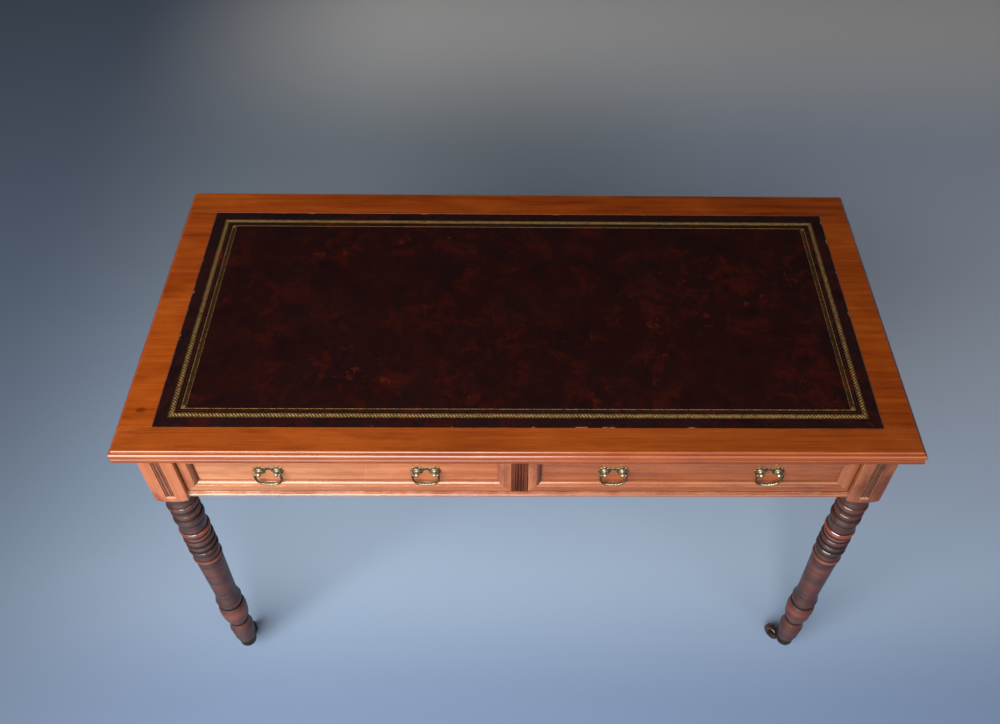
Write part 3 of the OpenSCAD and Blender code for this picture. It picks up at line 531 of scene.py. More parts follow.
@dataclass(frozen=True)
class Metal:
    """A cast or turned metal: bright where it is rubbed, dull and dark in its hollows, from dirt and painted shade."""

    name: str
    bright: Triple
    dull: Triple
    dirt_and_shade: Triple
    roughness: float = 0.34

    def build(self, effects: Effects) -> bpy.types.Material:
        """Builds the material."""
        material, tree = new_material(self.name)
        here = tree.here()
        tarnish = here.noise(120.0, 5.0, 0.65)
        worn, soft = tree.group(effects.arris, here, 0.0012, 1.0)
        # Dirt and painted shade: darker where a place sees little sky within a short reach
        (dirt_and_shade,) = tree.group(effects.dirt_and_hollow_shade, here, 0.004, 0.9)
        handled = tree.attribute("crest") * tarnish.span(0.3, 0.6, 1.0, 0.6)
        colour = tarnish.span(0.32, 0.55, 0.55, 1.0).mix(self.bright, self.dull)
        colour = lay(colour, (handled, self.bright), (worn, self.bright), (dirt_and_shade, self.dirt_and_shade))
        rough = tarnish.scaled(0.3, self.roughness - 0.1) + dirt_and_shade * 0.3
        tree.give(
            Base_Color=colour, Metallic=0.95 - dirt_and_shade * 0.6, Roughness=rough.clamped(),
            Normal=tree.bump(tarnish, 0.12, soft),
        )
        return material


@dataclass(frozen=True)
class Glaze:
    """Brown salt-glazed stoneware with a thin run of colour and fine pitting."""

    name: str
    body: Triple = (0.055, 0.022, 0.016)
    run: Triple = (0.015, 0.008, 0.008)
    dirt_and_shade: Triple = (0.02, 0.016, 0.012)

    def build(self, effects: Effects) -> bpy.types.Material:
        """Builds the material."""
        material, tree = new_material(self.name)
        here = tree.here()
        runs = here.noise(90.0, 4.0, 0.6)
        # Dirt and painted shade: darker where a place sees little sky within a short reach
        (dirt_and_shade,) = tree.group(effects.dirt_and_hollow_shade, here, 0.006, 0.8)
        tree.give(
            Base_Color=dirt_and_shade.mix(runs.span(0.35, 0.65).mix(self.body, self.run), self.dirt_and_shade),
            Roughness=runs.scaled(0.25, 0.12), Coat_Roughness=0.08, Coat_Weight=0.4,
            Normal=tree.bump(here.noise(700.0, 2.0), 0.1),
        )
        return material


Finish = Timber | Hide | Metal | Glaze

FADED = dict(
    dark=(0.16, 0.036, 0.0105), middle=(0.31, 0.085, 0.0270), light=(0.45, 0.145, 0.056), worn=(0.60, 0.29, 0.17),
    polish=0.7, gloss=0.12, roughness=0.26, dirt_and_shade=0.45, dirt_and_shade_reach=0.007, contrast=1.3, pores=0.25, painted_right_shade=0.28,
)
TOP_TIMBER = Timber(
    "polished_top_mahogany", dark=(0.140, 0.0200, 0.0022), middle=(0.265, 0.0500, 0.0056),
    light=(0.37, 0.089, 0.0130), worn=(0.52, 0.21, 0.09), contrast=1.25, smudge=0.2, pores=0.10, roughness=0.26,
    crest=0.05, painted_right_shade=0.22, polish=0.85, gloss=0.11, scratches=0.1, wear=0.3, mark_strength=0.6,
    marks=(((-0.578, -0.2173, 0.765), (0.010, 0.007, 0.01)),),
)
# Darker, redder copies of the top's timber for the centre and back boards: painted shade, less light towards the back
SHADED_CENTRE_TIMBER = replace(
    TOP_TIMBER, name="shaded_centre_top_mahogany", contrast=1.9, dark=(0.140, 0.0175, 0.0011),
    middle=(0.25, 0.041, 0.0026), light=(0.35, 0.074, 0.0070),
)
SHADED_BACK_TIMBER = replace(
    TOP_TIMBER, name="shaded_back_top_mahogany", contrast=1.6, dark=(0.120, 0.0150, 0.0010),
    middle=(0.215, 0.034, 0.0022), light=(0.31, 0.064, 0.0060),
)
FRONT_TIMBER = Timber(
    "faded_front_mahogany", **FADED, shift=(0.3, 0.12, 0.05), ring_spacing=0.02, smudge=0.18, painted_left_sheen=(1.13, 1.5, 1.9),
)
# Pale worn colour on the rail's edges and bead: rubbed wear and a painted highlight
RAIL_TIMBER_WORN_AND_LIT = replace(
    FRONT_TIMBER, name="polished_rail_mahogany_worn_and_lit", polish=1.0, gloss=0.16, wear=1.0, wear_reach=0.0025,
    worn=(0.62, 0.36, 0.26),
)
# A darker copy of the front's timber for the right drawer: painted shade, away from the lamp
SHADED_RIGHT_TIMBER = replace(
    FRONT_TIMBER, name="shaded_right_front_mahogany", dark=(0.13, 0.027, 0.0070), middle=(0.27, 0.069, 0.0180),
    light=(0.39, 0.118, 0.038), polish=1.0,
)
SIDE_TIMBER = Timber(
    "faded_side_mahogany", **FADED, grain=Grain.FRONT_TO_BACK, shift=(0.1, 0.4, 0.0), smudge=0.25,
)
UPRIGHT_TIMBER = replace(
    SIDE_TIMBER, name="faded_upright_mahogany", middle=(0.295, 0.086, 0.031), light=(0.42, 0.146, 0.063),
    grain=Grain.UPRIGHT, crest=0.8, smudge=0.8, smudge_scale=15.0, mark_strength=0.7,
    marks=(((0.5735, -0.280, 0.6767), (0.010, 0.004, 0.0010)),),
)
TURNED_TIMBER = Timber(
    "dark_turned_mahogany", dark=(0.011, 0.0034, 0.0022), middle=(0.032, 0.0085, 0.0045),
    light=(0.075, 0.020, 0.009), worn=(0.20, 0.036, 0.008), grain=Grain.UPRIGHT, wear=0.15, dirt_and_shade=0.9,
    ring_spacing=0.006, bend=0.03, polish=1.0, gloss=0.16, coat_ior=1.9, crest=0.85, roughness=0.32,
    specular=0.32, anisotropy=0.80, smudge=0.5,
)
DARK_TIMBER = Timber(
    "dark_reeded_mahogany", dark=(0.022, 0.0055, 0.0025), middle=(0.075, 0.0165, 0.0055), light=(0.15, 0.036, 0.011),
    worn=(0.34, 0.10, 0.045), grain=Grain.UPRIGHT, wear=0.7, dirt_and_shade=1.0, ring_spacing=0.006, bend=0.03, polish=0.0,
    specular=0.25, smudge=0.5,
)
SOFTWOOD = Timber(
    "bare_softwood", dark=(0.19, 0.10, 0.045), middle=(0.34, 0.20, 0.095), light=(0.45, 0.29, 0.15),
    worn=(0.5, 0.34, 0.2), grain=Grain.FRONT_TO_BACK, roughness=0.7, polish=0.0, wear=0.3, dirt_and_shade=0.6,
    ring_spacing=0.007, scratches=0.1,
)
CROSS_SOFTWOOD = replace(SOFTWOOD, name="bare_cross_softwood", grain=Grain.ACROSS_WIDTH)
BRASS = Metal("aged_brass", bright=(0.52, 0.44, 0.28), dull=(0.125, 0.098, 0.052), dirt_and_shade=(0.030, 0.023, 0.013))
TARNISHED = Metal("tarnished_brass", bright=(0.34, 0.26, 0.13), dull=(0.075, 0.055, 0.028), dirt_and_shade=(0.02, 0.015, 0.01))
STEEL = Metal("screw_steel", bright=(0.30, 0.29, 0.28), dull=(0.13, 0.10, 0.08), dirt_and_shade=(0.03, 0.02, 0.015))
STONEWARE = Glaze("brown_glaze")


# The studio


@dataclass(frozen=True)
class Lamp:
    """A soft rectangular lamp that looks at a target."""

    name: str
    place: Triple
    target: Triple
    size: tuple[float, float]
    power: float
    colour: Triple

    def build(self) -> None:
        """Makes the lamp."""
        data = bpy.data.lights.new(self.name, "AREA")
        data.shape = "RECTANGLE"
        data.size, data.size_y = self.size
        data.energy, data.color = self.power, self.colour
        lamp = bpy.data.objects.new(self.name, data)
        lamp.location = self.place
        lamp.rotation_euler = (Vector(self.target) - Vector(self.place)).to_track_quat("-Z", "Y").to_euler()
        bpy.context.scene.collection.objects.link(lamp)


@dataclass
class Studio:
    """Floor, sky, soft lamps, and the camera at the photograph's viewing angle."""

    focal_px: float = 964.4
    image_width_px: float = 1000.0
    centre_x_px: float = 529.2
    pitch_deg: float = 49.50
    yaw_deg: float = 1.42
    roll_deg: float = 1.28
    place: Triple = (-0.0103, -1.1206, 1.9388)
    sensor_mm: float = 36.0
    sky: Triple = (0.84, 0.90, 1.0)
    floor_colour: Triple = (0.275, 0.36, 0.485)
    # Painted light and shade, laid over the floor's colour
    floor_painted_front_shade: Triple = (0.145, 0.210, 0.335)
    floor_painted_right_light: Triple = (0.38, 0.44, 0.545)
    floor_painted_behind_shade: Triple = (0.25, 0.295, 0.345)
    floor_painted_far_light: Triple = (0.66, 0.655, 0.645)
    floor_painted_left_shade: Triple = (0.095, 0.130, 0.190)
    floor_half: float = 14.0
    floor_rough: float = 0.75
    glossy_loss: float = 0.55
    lamps: tuple[Lamp, ...] = (
        Lamp("left_softbox", (-0.99, -2.18, 1.98), (-0.14, -0.45, 0.74), (2.6, 2.0), 185.0, (1.0, 0.97, 0.94)),
        Lamp("right_softbox", (1.15, -2.0, 1.9), (0.3, -0.2, 0.7), (1.4, 1.6), 14.0, (0.96, 0.98, 1.0)),
    )

    def build(self) -> None:
        """Makes the world, the floor, the lamps and the camera."""
        scene = bpy.context.scene
        scene.view_settings.view_transform = "Standard"
        self.make_world(scene)
        self.make_floor()
        for lamp in self.lamps:
            lamp.build()
        self.make_camera(scene)

    def make_world(self, scene: bpy.types.Scene) -> None:
        """A plain pale sky, even towards the front, and otherwise brightest low down."""
        world = bpy.data.worlds.new("studio")
        world.use_nodes = True
        tree = Tree(world.node_tree, world.node_tree.nodes["Background"])
        _, y, z = tree.out("TexCoord", output="Generated").axes()
        front = y.span(-0.9, 0.3, 1.0, 0.0)
        low_sky = z.span(0.12, 0.47, 0.34, 0.015)
        tree.give(Color=self.sky, Strength=front * 0.22 + (1.0 - front) * low_sky)
        scene.world = world

    def make_floor(self) -> None:
        """A large sheet under the casters, with painted light and shade on it, and painted darker where polished pieces
        mirror it.
        """
        shell = Shell()
        half = self.floor_half / MM
        shell.grid(np.array([[[-half, -half, 0], [half, -half, 0]], [[-half, half, 0], [half, half, 0]]], float))
        floor = shell.to_object("studio_floor")
        material, tree = new_material("studio_floor")
        x, y, _ = tree.here().axes()
        # Painted light and shade: darker in front of the table, behind it and far to the left, paler under its right
        # half and far behind; painted darker still where polished pieces mirror it
        colour = lay(
            self.floor_colour,
            (y.span(-0.42, -0.05, 1.0, 0.0) * y.span(-1.5, -0.7), self.floor_painted_front_shade),
            (y.span(0.2, 1.2), self.floor_painted_behind_shade),
            (y.span(-0.15, 0.6) * x.span(-0.1, 0.95), self.floor_painted_right_light),
            (y.span(1.35, 2.3), self.floor_painted_far_light),
            (x.span(-1.5, -0.35, 1.0, 0.0) * x.span(-3.4, -2.1), self.floor_painted_left_shade),
            (tree.out("LightPath", output="Is Glossy Ray") * self.glossy_loss, BLACK),
        )
        tree.give(Base_Color=colour, Roughness=self.floor_rough)
        floor.data.materials.append(material)

    def make_camera(self, scene: bpy.types.Scene) -> None:
        """Sets the camera from its pitch, yaw and roll, with the focal length in image widths."""
        pitch, yaw, roll = (math.radians(a) for a in (self.pitch_deg, self.yaw_deg, self.roll_deg))
        ahead = Vector((math.sin(yaw) * math.cos(pitch), math.cos(yaw) * math.cos(pitch), -math.sin(pitch)))
        flat_right = Vector((math.cos(yaw), -math.sin(yaw), 0.0))
        flat_up = flat_right.cross(ahead)
        right = flat_right * math.cos(roll) + flat_up * math.sin(roll)
        up = flat_up * math.cos(roll) - flat_right * math.sin(roll)
        data = bpy.data.cameras.new("camera")
        data.sensor_width = self.sensor_mm
        data.lens = data.sensor_width * self.focal_px / self.image_width_px
        data.shift_x = 0.5 - self.centre_x_px / self.image_width_px
        camera = bpy.data.objects.new("camera", data)
        turn = Matrix((right, up, -ahead)).transposed().to_4x4()
        camera.matrix_world = Matrix.Translation(self.place) @ turn
        scene.collection.objects.link(camera)
        scene.camera = camera


# Surfaces


class Shell:
    """Surfaces gathered as numpy grids, in millimetres, which become one mesh."""

    def __init__(self) -> None:
        """Starts with no surface."""
        self.points: list[Array] = []
        self.crests: list[Array] = []
        self.faces: list[list[int]] = []
        self.slots: list[int] = []
        self.count = 0

    def grid(
        self, points: Array, wrap: bool = False, caps: bool = False, cut: bool = False, slot: int = 0,
        crest: Array | None = None,
    ) -> None:
        """Adds a surface whose faces each join four neighbours of a grid.

        Args:
            points: rows by columns by 3.
            wrap: joins the last column to the first.
            caps: closes the first and the last row with one face each.
            cut: closes the gap between the first and the last column with one face.
            slot: the material slot of the faces.
            crest: a tone at each point, rows by columns: rubbed wear and painted highlight where positive, painted
                shade and darker hollows where negative.
        """
        rows, columns = points.shape[:2]
        index = np.arange(rows * columns).reshape(rows, columns) + self.count
        full = np.concatenate([index, index[:, :1]], axis=1) if wrap else index
        quads = np.stack([full[:-1, :-1], full[:-1, 1:], full[1:, 1:], full[1:, :-1]], axis=-1)
        faces = quads.reshape(-1, 4).tolist()
        if caps:
            faces += [index[0, ::-1].tolist(), index[-1].tolist()]
        if cut:
            faces.append(index[:, 0].tolist() + index[::-1, -1].tolist())
        self.points.append(points.reshape(-1, 3))
        self.crests.append(np.zeros(rows * columns) if crest is None else crest.reshape(-1))
        self.count += rows * columns
        self.close(slot, *faces)

    def close(self, slot: int, *faces: list[int]) -> None:
        """Adds faces between points that are already there."""
        self.faces += faces
        self.slots += [slot] * len(faces)

    def to_object(self, name: str, sharp_deg: float = 32.0, seed: float = 0.0) -> bpy.types.Object:
        """Makes the mesh in metres, merges points that coincide, and turns the faces outward.

        Args:
            name: the object's name.
            sharp_deg: edges that turn more than this stay sharp.
            seed: a number that shifts the timber's figure on this piece.

        Returns:
            The new object, at the origin.
        """
        mesh = bpy.data.meshes.new(name)
        mesh.from_pydata((np.concatenate(self.points) * MM).tolist(), [], self.faces)
        mesh.polygons.foreach_set("material_index", np.array(self.slots, np.int32))
        for title, values in (("crest", np.concatenate(self.crests)), ("seed", np.full(self.count, seed))):
            stored = mesh.attributes.new(title, "FLOAT", "POINT")
            stored.data.foreach_set("value", values.astype(np.float32))
        work = bmesh.new()
        work.from_mesh(mesh)
        bmesh.ops.remove_doubles(work, verts=work.verts, dist=2e-6)
        bmesh.ops.recalc_face_normals(work, faces=work.faces)
        work.to_mesh(mesh)
        work.free()
        mesh.polygons.foreach_set("use_smooth", np.ones(len(mesh.polygons), bool))
        mesh.set_sharp_from_angle(angle=math.radians(sharp_deg))
        piece = bpy.data.objects.new(name, mesh)
        bpy.context.scene.collection.objects.link(piece)
        even = piece.modifiers.new("even_normals", "WEIGHTED_NORMAL")
        even.keep_sharp = True
        return piece


def arc(centre: tuple[float, float], radius: float, start_deg: float, end_deg: float, count: int) -> Array:
    """Points of an arc: its centre plus the radius times the cosine and sine of evenly spread angles."""
    angle = np.radians(np.linspace(start_deg, end_deg, count))
    return np.column_stack([centre[0] + radius * np.cos(angle), centre[1] + radius * np.sin(angle)])


def around(columns: int) -> Array:
    """The angles of evenly spread points round a circle."""
    return np.linspace(0.0, math.tau, columns, endpoint=False)


def revolve_about_y(outline: Array, place: Triple, columns: int = 32) -> Array:
    """Turns an outline about Y: each row is a circle of the outline's radius at the outline's distance along Y.

    Args:
        outline: rows of radius and distance along the axis.
        place: where the axis starts.
        columns: points on each circle.

    Returns:
        Rows by columns by 3.
    """
    angle = around(columns)
    radius, along = outline[:, :1], outline[:, 1:] + np.zeros(columns)
    return np.stack([radius * np.sin(angle), along, radius * np.cos(angle)], axis=-1) + np.array(place)


def tube(path: Array, radius: Array, place: Triple, columns: int = 18) -> Array:
    """Carries a circle along a path in an XZ plane: each circle is spanned by Y and by the cross product of Y and
    the path's direction, and its size is the radius there.

    Args:
        path: rows of x and z.
        radius: the radius at each row.
        place: what is added to every point.
        columns: points on each circle.

    Returns:
        Rows by columns by 3.
    """
    spine = np.column_stack([path[:, 0], np.zeros(len(path)), path[:, 1]])
    ahead = np.gradient(spine, axis=0)
    ahead /= np.linalg.norm(ahead, axis=1, keepdims=True)
    across = np.array((0.0, 1.0, 0.0))
    side = np.cross(across, ahead)
    angle = around(columns)
    ring = side[:, None] * np.cos(angle)[None, :, None] + across * np.sin(angle)[None, :, None]
    return spine[:, None] + ring * radius[:, None, None] + np.array(place)


@dataclass
class Workshop:
    """Holds the finishes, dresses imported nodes, and puts new pieces in their places."""

    effects: Effects = field(default_factory=Effects)
    built: dict[str, bpy.types.Material] = field(default_factory=dict)
    slot_names: dict[str, str] = field(init=False)

    def __post_init__(self) -> None:
        """Notes each node's record slot before its material changes."""
        self.slot_names = {name: node.material_slots[0].name for name, node in frame["nodes"].items()}

    def material(self, finish: Finish) -> bpy.types.Material:
        """The finish's material, built at its first use."""
        if finish.name not in self.built:
            self.built[finish.name] = finish.build(self.effects)
        return self.built[finish.name]

    def dress(self, finish: Finish, *nodes: str) -> None:
        """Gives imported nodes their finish."""
        for node in nodes:
            for slot in frame["nodes"][node].material_slots:
                slot.material = self.material(finish)
            log.info("dressed %s in %s", node, finish.name)

    def stand_in(
        self, node: str, shell: Shell, *finishes: Finish, sharp_deg: float = 32.0, seed: float = 0.0,
    ) -> None:
        """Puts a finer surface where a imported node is.

        Args:
            node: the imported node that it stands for.
            shell: the surface.
            finishes: one finish for each of the shell's slots.
            sharp_deg: edges that turn more than this stay sharp.
            seed: a number that shifts the timber's figure.
        """
        piece = shell.to_object(node + "_fine", sharp_deg, seed)
        for finish in finishes:
            piece.data.materials.append(self.material(finish))
        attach(piece, frame["nodes"][node]["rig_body"])
        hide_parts(node)
        log.info("built %s with %d faces", piece.name, len(piece.data.polygons))


# The table, in millimetres


@dataclass
class Top:
    """Three boards with one moulded edge round them, and the leather let in between."""

    half_width: float = 610.0
    half_depth: float = 300.0
    height: float = 765.0
    front_joint: float = -249.0
    back_joint: float = 239.0
    leather_half: float = 553.5
    rebate: float = 1.5
    leather: float = 1.3
    corner: float = 2.2
    joint_ease: float = 0.3
    shaded_drop: float = -14.5
    shade: float = -0.28
    bed_shade: float = -0.6
    rim: float = 1.5
    rim_drop: float = 0.28
    ripple: float = 0.14

    def edge(self) -> Array:
        """The edge moulding from the top inward point down to the bottom, as (distance inward, drop): a bead, a
        quirk, a torus, a fillet and a lower torus."""
        bead = arc((8.0, -3.0), 3.0, 90.0, 180.0, 8)
        torus = arc((5.0, -9.0), 5.0, 90.0, 240.0, 15)
        lower = arc((6.0, -20.5), 5.5, 129.5, 270.0, 13)
        top, quirk, under = [(40.0, 0.0), (9.0, 0.0)], [(5.0, -3.9)], [(7.0, -26.0), (40.0, -26.0)]
        return np.concatenate([top, bead, quirk, torus, lower, under])

    def outer_board(self, sign: float, joint: float) -> Shell:
        """A board with its moulding round three sides: at each height the path runs from the joint round two
        eased corners back to the joint, as far inward as the moulding says."""
        edge = self.edge()
        inward, drop = edge[:, :1], edge[:, 1:]
        ease = np.maximum(self.corner - inward, 0.25)
        turn = np.radians(np.linspace(0.0, 90.0, 7))[None]
        left_x = -self.half_width + inward + ease - ease * np.cos(turn)
        left_y = self.half_depth - inward - ease + ease * np.sin(turn)
        eased = self.joint_ease * np.clip(1.0 + drop / self.joint_ease, 0.0, 1.0)
        start_y = np.broadcast_to(abs(joint) + eased, inward.shape)
        x = np.concatenate([-self.half_width + inward, left_x, -left_x[:, ::-1], self.half_width - inward], axis=1)
        y = np.concatenate([start_y, left_y, left_y[:, ::-1], start_y], axis=1)
        z = self.height + np.broadcast_to(drop, x.shape)
        shell = Shell()
        tone = np.broadcast_to(np.where(drop < self.shaded_drop, self.shade, 0.0), x.shape)
        shell.grid(np.stack([x, sign * y, z], axis=-1), caps=True, cut=True, crest=tone)
        return shell

    def centre_board(self) -> Shell:
        """The board under the leather: its section runs from front to back, with the moulding at both ends."""
        edge = self.edge()[1:]
        left = np.column_stack([-self.half_width + edge[::-1, 0], edge[::-1, 1]])
        right = np.column_stack([self.half_width - edge[:, 0], edge[:, 1]])
        half, low = self.leather_half, -self.rebate
        step = np.array([(half, low), (half, -0.3), (half + 0.3, 0.0), (half + 3.2, 0.0)])
        x, z = np.concatenate([left, step[::-1] * (-1.0, 1.0), step, right]).T
        joints = (self.front_joint, self.back_joint)
        rows = [np.column_stack([x, np.full_like(x, y), self.height + z]) for y in joints]
        in_bed = np.where(np.abs(x) < half + 1.0, self.bed_shade, 0.0)
        shell = Shell()
        tone = np.where(z < self.shaded_drop, self.shade, in_bed) * np.ones((2, 1))
        shell.grid(np.stack(rows), wrap=True, caps=True, crest=tone)
        return shell

    def leather_sheet(self) -> Shell:
        """The leather: a grid whose height is the full thickness less a slow ripple, eased down at its rim."""
        lead = np.array([0.0, 0.0, 0.15, 0.4, 0.8, 1.5])

        def spread(low: float, high: float, count: int) -> Array:
            """Even steps with a few close ones at each end."""
            return np.concatenate([low + lead, np.linspace(low + 6.0, high - 6.0, count), high - lead[::-1]])

        x = spread(-self.leather_half, self.leather_half, 180)[None]
        y = spread(self.front_joint, self.back_joint, 84)[:, None]
        side = np.minimum(x + self.leather_half, self.leather_half - x)
        depth = np.minimum(y - self.front_joint, self.back_joint - y)
        rim = np.clip(np.minimum(side, depth) / self.rim, 0.0, 1.0)
        waves = np.sin(x / 31.0 + 1.7 * np.sin(y / 43.0)) + np.sin(y / 27.0 + 1.3 * np.sin(x / 59.0))
        sunk = self.rim_drop * (1.0 - rim) ** 2
        height = self.leather - 0.05 - sunk - self.ripple * (0.5 + 0.25 * waves) * rim
        height[0] = height[-1] = 0.0
        height[:, 0] = height[:, -1] = 0.0
        level = self.height - self.rebate
        shell = Shell()
        shell.grid(np.stack([x + 0.0 * height, y + 0.0 * height, level + height], axis=-1))
        index = np.arange(height.size).reshape(height.shape)
        outline = [index[0], index[1:, -1], index[-1, -2::-1], index[-2:0:-1, 0]]
        shell.close(0, np.concatenate(outline)[::-1].tolist())
        return shell

    def build(self, shop: Workshop) -> None:
        """Builds the three boards and the leather."""
        hide = Hide("tooled_hide", self.leather_half * MM, self.front_joint * MM, self.back_joint * MM)
        shop.stand_in("top_front_board", self.outer_board(-1.0, self.front_joint), TOP_TIMBER, seed=0.31)
        shop.stand_in("top_centre_board", self.centre_board(), SHADED_CENTRE_TIMBER, seed=0.0)
        shop.stand_in("top_back_board", self.outer_board(1.0, self.back_joint), SHADED_BACK_TIMBER, seed=0.77)
        shop.stand_in("leather_panel", self.leather_sheet(), hide)
        shop.dress(STEEL, "top_screws")


@dataclass
class TurnedLeg:
    """One leg: a square block with sunk reeding on its outward faces, and a turned shaft below it."""

    corner: str
    block_foot: float = 604.5
    block_top: float = 739.0
    half_square: float = 26.5
    centre_x: float = 557.5
    centre_y: float = 253.5
    shoulder: float = 6.0
    shoulder_reach: float = 11.66
    reed_pitch: float = 4.8
    reed_depth: float = 2.5
    reed_stop: float = 14.0
    arris: float = 0.8
    toe: float = 59.0
    cup_radius: float = 17.4
    taper_drop: float = 222.0
    taper_foot: float = 198.0
    neck_radius: float = 16.8
    strip_shade: float = -0.46
    depth_shade: float = -0.24
    middle_lift: float = 0.1
    ledge_light: float = 0.9
    seed_step: float = 0.37

    def face_points(self, reeded: bool) -> tuple[Array, Array]:
        """One face of the block as distance along it and depth: flat, with three half-round reeds sunk in the
        middle if it is reeded. The second array is 1 where the depth belongs to the reeds."""
        flat = self.half_square - self.arris
        if not reeded:
            return np.column_stack([np.linspace(-flat, flat, 13), np.zeros(13)]), np.zeros(13)
        reed, deep = self.reed_pitch / 2.0, self.reed_depth
        turn = np.radians(np.linspace(-84.0, 84.0, 9))
        rows = [
            np.column_stack([centre + reed * np.sin(turn), deep - reed * np.cos(turn)])
            for centre in (-2 * reed, 0.0, 2 * reed)
        ]
        strip = np.concatenate([[(-3 * reed, 0.0), (-3 * reed, deep)], *rows, [(3 * reed, deep), (3 * reed, 0.0)]])
        before = np.column_stack([np.linspace(-flat, -3 * reed - 0.4, 6), np.zeros(6)])
        after = np.column_stack([np.linspace(3 * reed + 0.4, flat, 6), np.zeros(6)])
        share = np.concatenate([np.zeros(6), np.ones(len(strip)), np.zeros(6)])
        return np.concatenate([before, strip, after]), share

    def outline(self) -> tuple[Array, Array]:
        """The block's outline and how far reeding sinks it, anticlockwise from the right face's front end."""
        right, front = "right" in self.corner, "front" in self.corner
        flat = self.half_square - self.arris
        pieces, sunk = [], []
        for turn, reeded in ((0.0, right), (90.0, False), (180.0, not right), (270.0, front)):
            points, share = self.face_points(reeded)
            ahead = np.array([math.cos(math.radians(turn)), math.sin(math.radians(turn))])
            along = np.array([-ahead[1], ahead[0]])
            face = np.outer(np.full(len(points), self.half_square), ahead) + np.outer(points[:, 0], along)
            bend = arc((0.0, 0.0), self.arris, turn + 15.0, turn + 75.0, 5)
            pieces += [face, bend + flat * (ahead + along)]
            sunk += [np.outer(points[:, 1] * share, -ahead), np.zeros_like(bend)]
        return np.concatenate(pieces), np.concatenate(sunk)

    def block_rows(self) -> tuple[Array, Array]:
        """The block's rows from its top to its foot: the outline less the reeding, held within the shoulder's
        cone. The second array darkens the sunk strip by its depth, less on its middle reed, and lights the ledge
        at its foot."""
        outline, sunk = self.outline()
        stop = self.block_foot + self.reed_stop
        ease = np.linspace(self.shoulder, 0.0, 9)
        top = [self.block_top, self.block_top - 1.0, stop + 0.9, stop + 0.5, stop]
        heights = np.concatenate([top, self.block_foot + ease])
        depth = np.clip((heights - stop) / 0.7, 0.0, 1.0)[:, None]
        points = outline[None] + sunk[None] * depth[..., None]
        climb = np.clip((heights - self.block_foot) / self.shoulder, 0.0, 50.0)
        limit = self.half_square + self.shoulder_reach * np.sqrt(climb)
        reach = np.linalg.norm(points, axis=-1)
        points = points * np.minimum(1.0, limit[:, None] / reach)[..., None]
        sink = np.linalg.norm(sunk, axis=1)
        middle_reed = np.min(np.abs(outline), axis=1) < self.reed_pitch * 0.45
        shade = self.strip_shade + self.depth_shade * sink / self.reed_depth + self.middle_lift * middle_reed
        tone = np.where(sink > 0.0, shade, 0.0)
        ledge = ((depth < 0.75) & (heights[:, None] > stop - 0.1)) * (sink > 0.0)[None]
        crest = np.where(ledge, self.ledge_light, tone[None] * (depth > 0.0))
        upright = np.broadcast_to(heights[:, None, None], (*points.shape[:2], 1))
        return np.concatenate([points, upright], axis=-1), crest

    def base_outline(self) -> Array:
        """The shaft without its rings, as (height, radius): plain lengths, bell, ball, neck and toe."""
        toe, block = self.toe, self.block_foot
        bell, ball, bead = toe + 168.0, toe + 129.0, toe + 83.0
        fall = np.linspace(0.0, 1.0, 9)
        up = np.radians(np.linspace(90.0, 0.0, 9))
        down = np.radians(np.linspace(10.0, 90.0, 9))
        flare = np.column_stack([bell + 29.0 * (1.0 - fall), 20.5 + 4.0 * fall**2])
        ball_top = np.column_stack([ball + 20.0 * np.sin(up), 20.5 + 5.3 * np.cos(up)])
        ball_foot = np.column_stack([ball - 43.0 * np.sin(down), 18.5 + 7.3 * np.cos(down)])
        neck = np.column_stack([toe + 74.0 - 25.0 * fall, self.neck_radius + 4.7 * np.sin(fall * math.pi / 2.0)])
        return np.concatenate([
            [(block, 22.5), (block - 17.0, 22.5), (block - 24.0, 23.8), (block - self.taper_drop, 23.8)],
            flare, ball_top, ball_foot, [(bead - 4.0, self.neck_radius)], neck,
            [(toe + 45.0, 21.7), (toe + 26.0, 21.0), (toe, self.cup_radius + 0.3)],
        ])

    def shaft_radius(self, height: Array) -> Array:
        """The shaft's radius: the largest of the base outline and of each ring's half-round, which swells from
        its own depth to its crest as a circle does."""
        base = self.base_outline()[::-1]
        order = np.argsort(base[:, 0], kind="stable")
        radius = np.interp(height, base[order, 0], base[order, 1])
        upper = (
            (34.5, 10.0, 0.0), (55.5, 3.5, 1.2), (76.5, 14.0, 0.2), (115.5, 8.0, 0.0),
            (143.5, 9.0, 0.2), (161.5, 7.0, 0.5), (178.5, 7.0, 0.2), (209.5, 9.0, 0.7),
        )
        lower = ((158.5, 23.0, 5.5), (83.0, 19.3, 2.5), (49.0, 22.5, 3.0), (14.0, self.cup_radius + 3.0, 2.0))
        rings = [(self.block_foot - drop, self.half_square - less, half) for drop, half, less in upper]
        rings += [(self.toe + rise, crest, half) for rise, crest, half in lower]
        for centre, crest, half in rings:
            away = np.clip(np.abs(height - centre) / half, 0.0, 1.0)
            swell = np.where(away < 1.0, crest - half + half * np.sqrt(1.0 - away**2), 0.0)
            radius = np.maximum(radius, swell)
        return radius

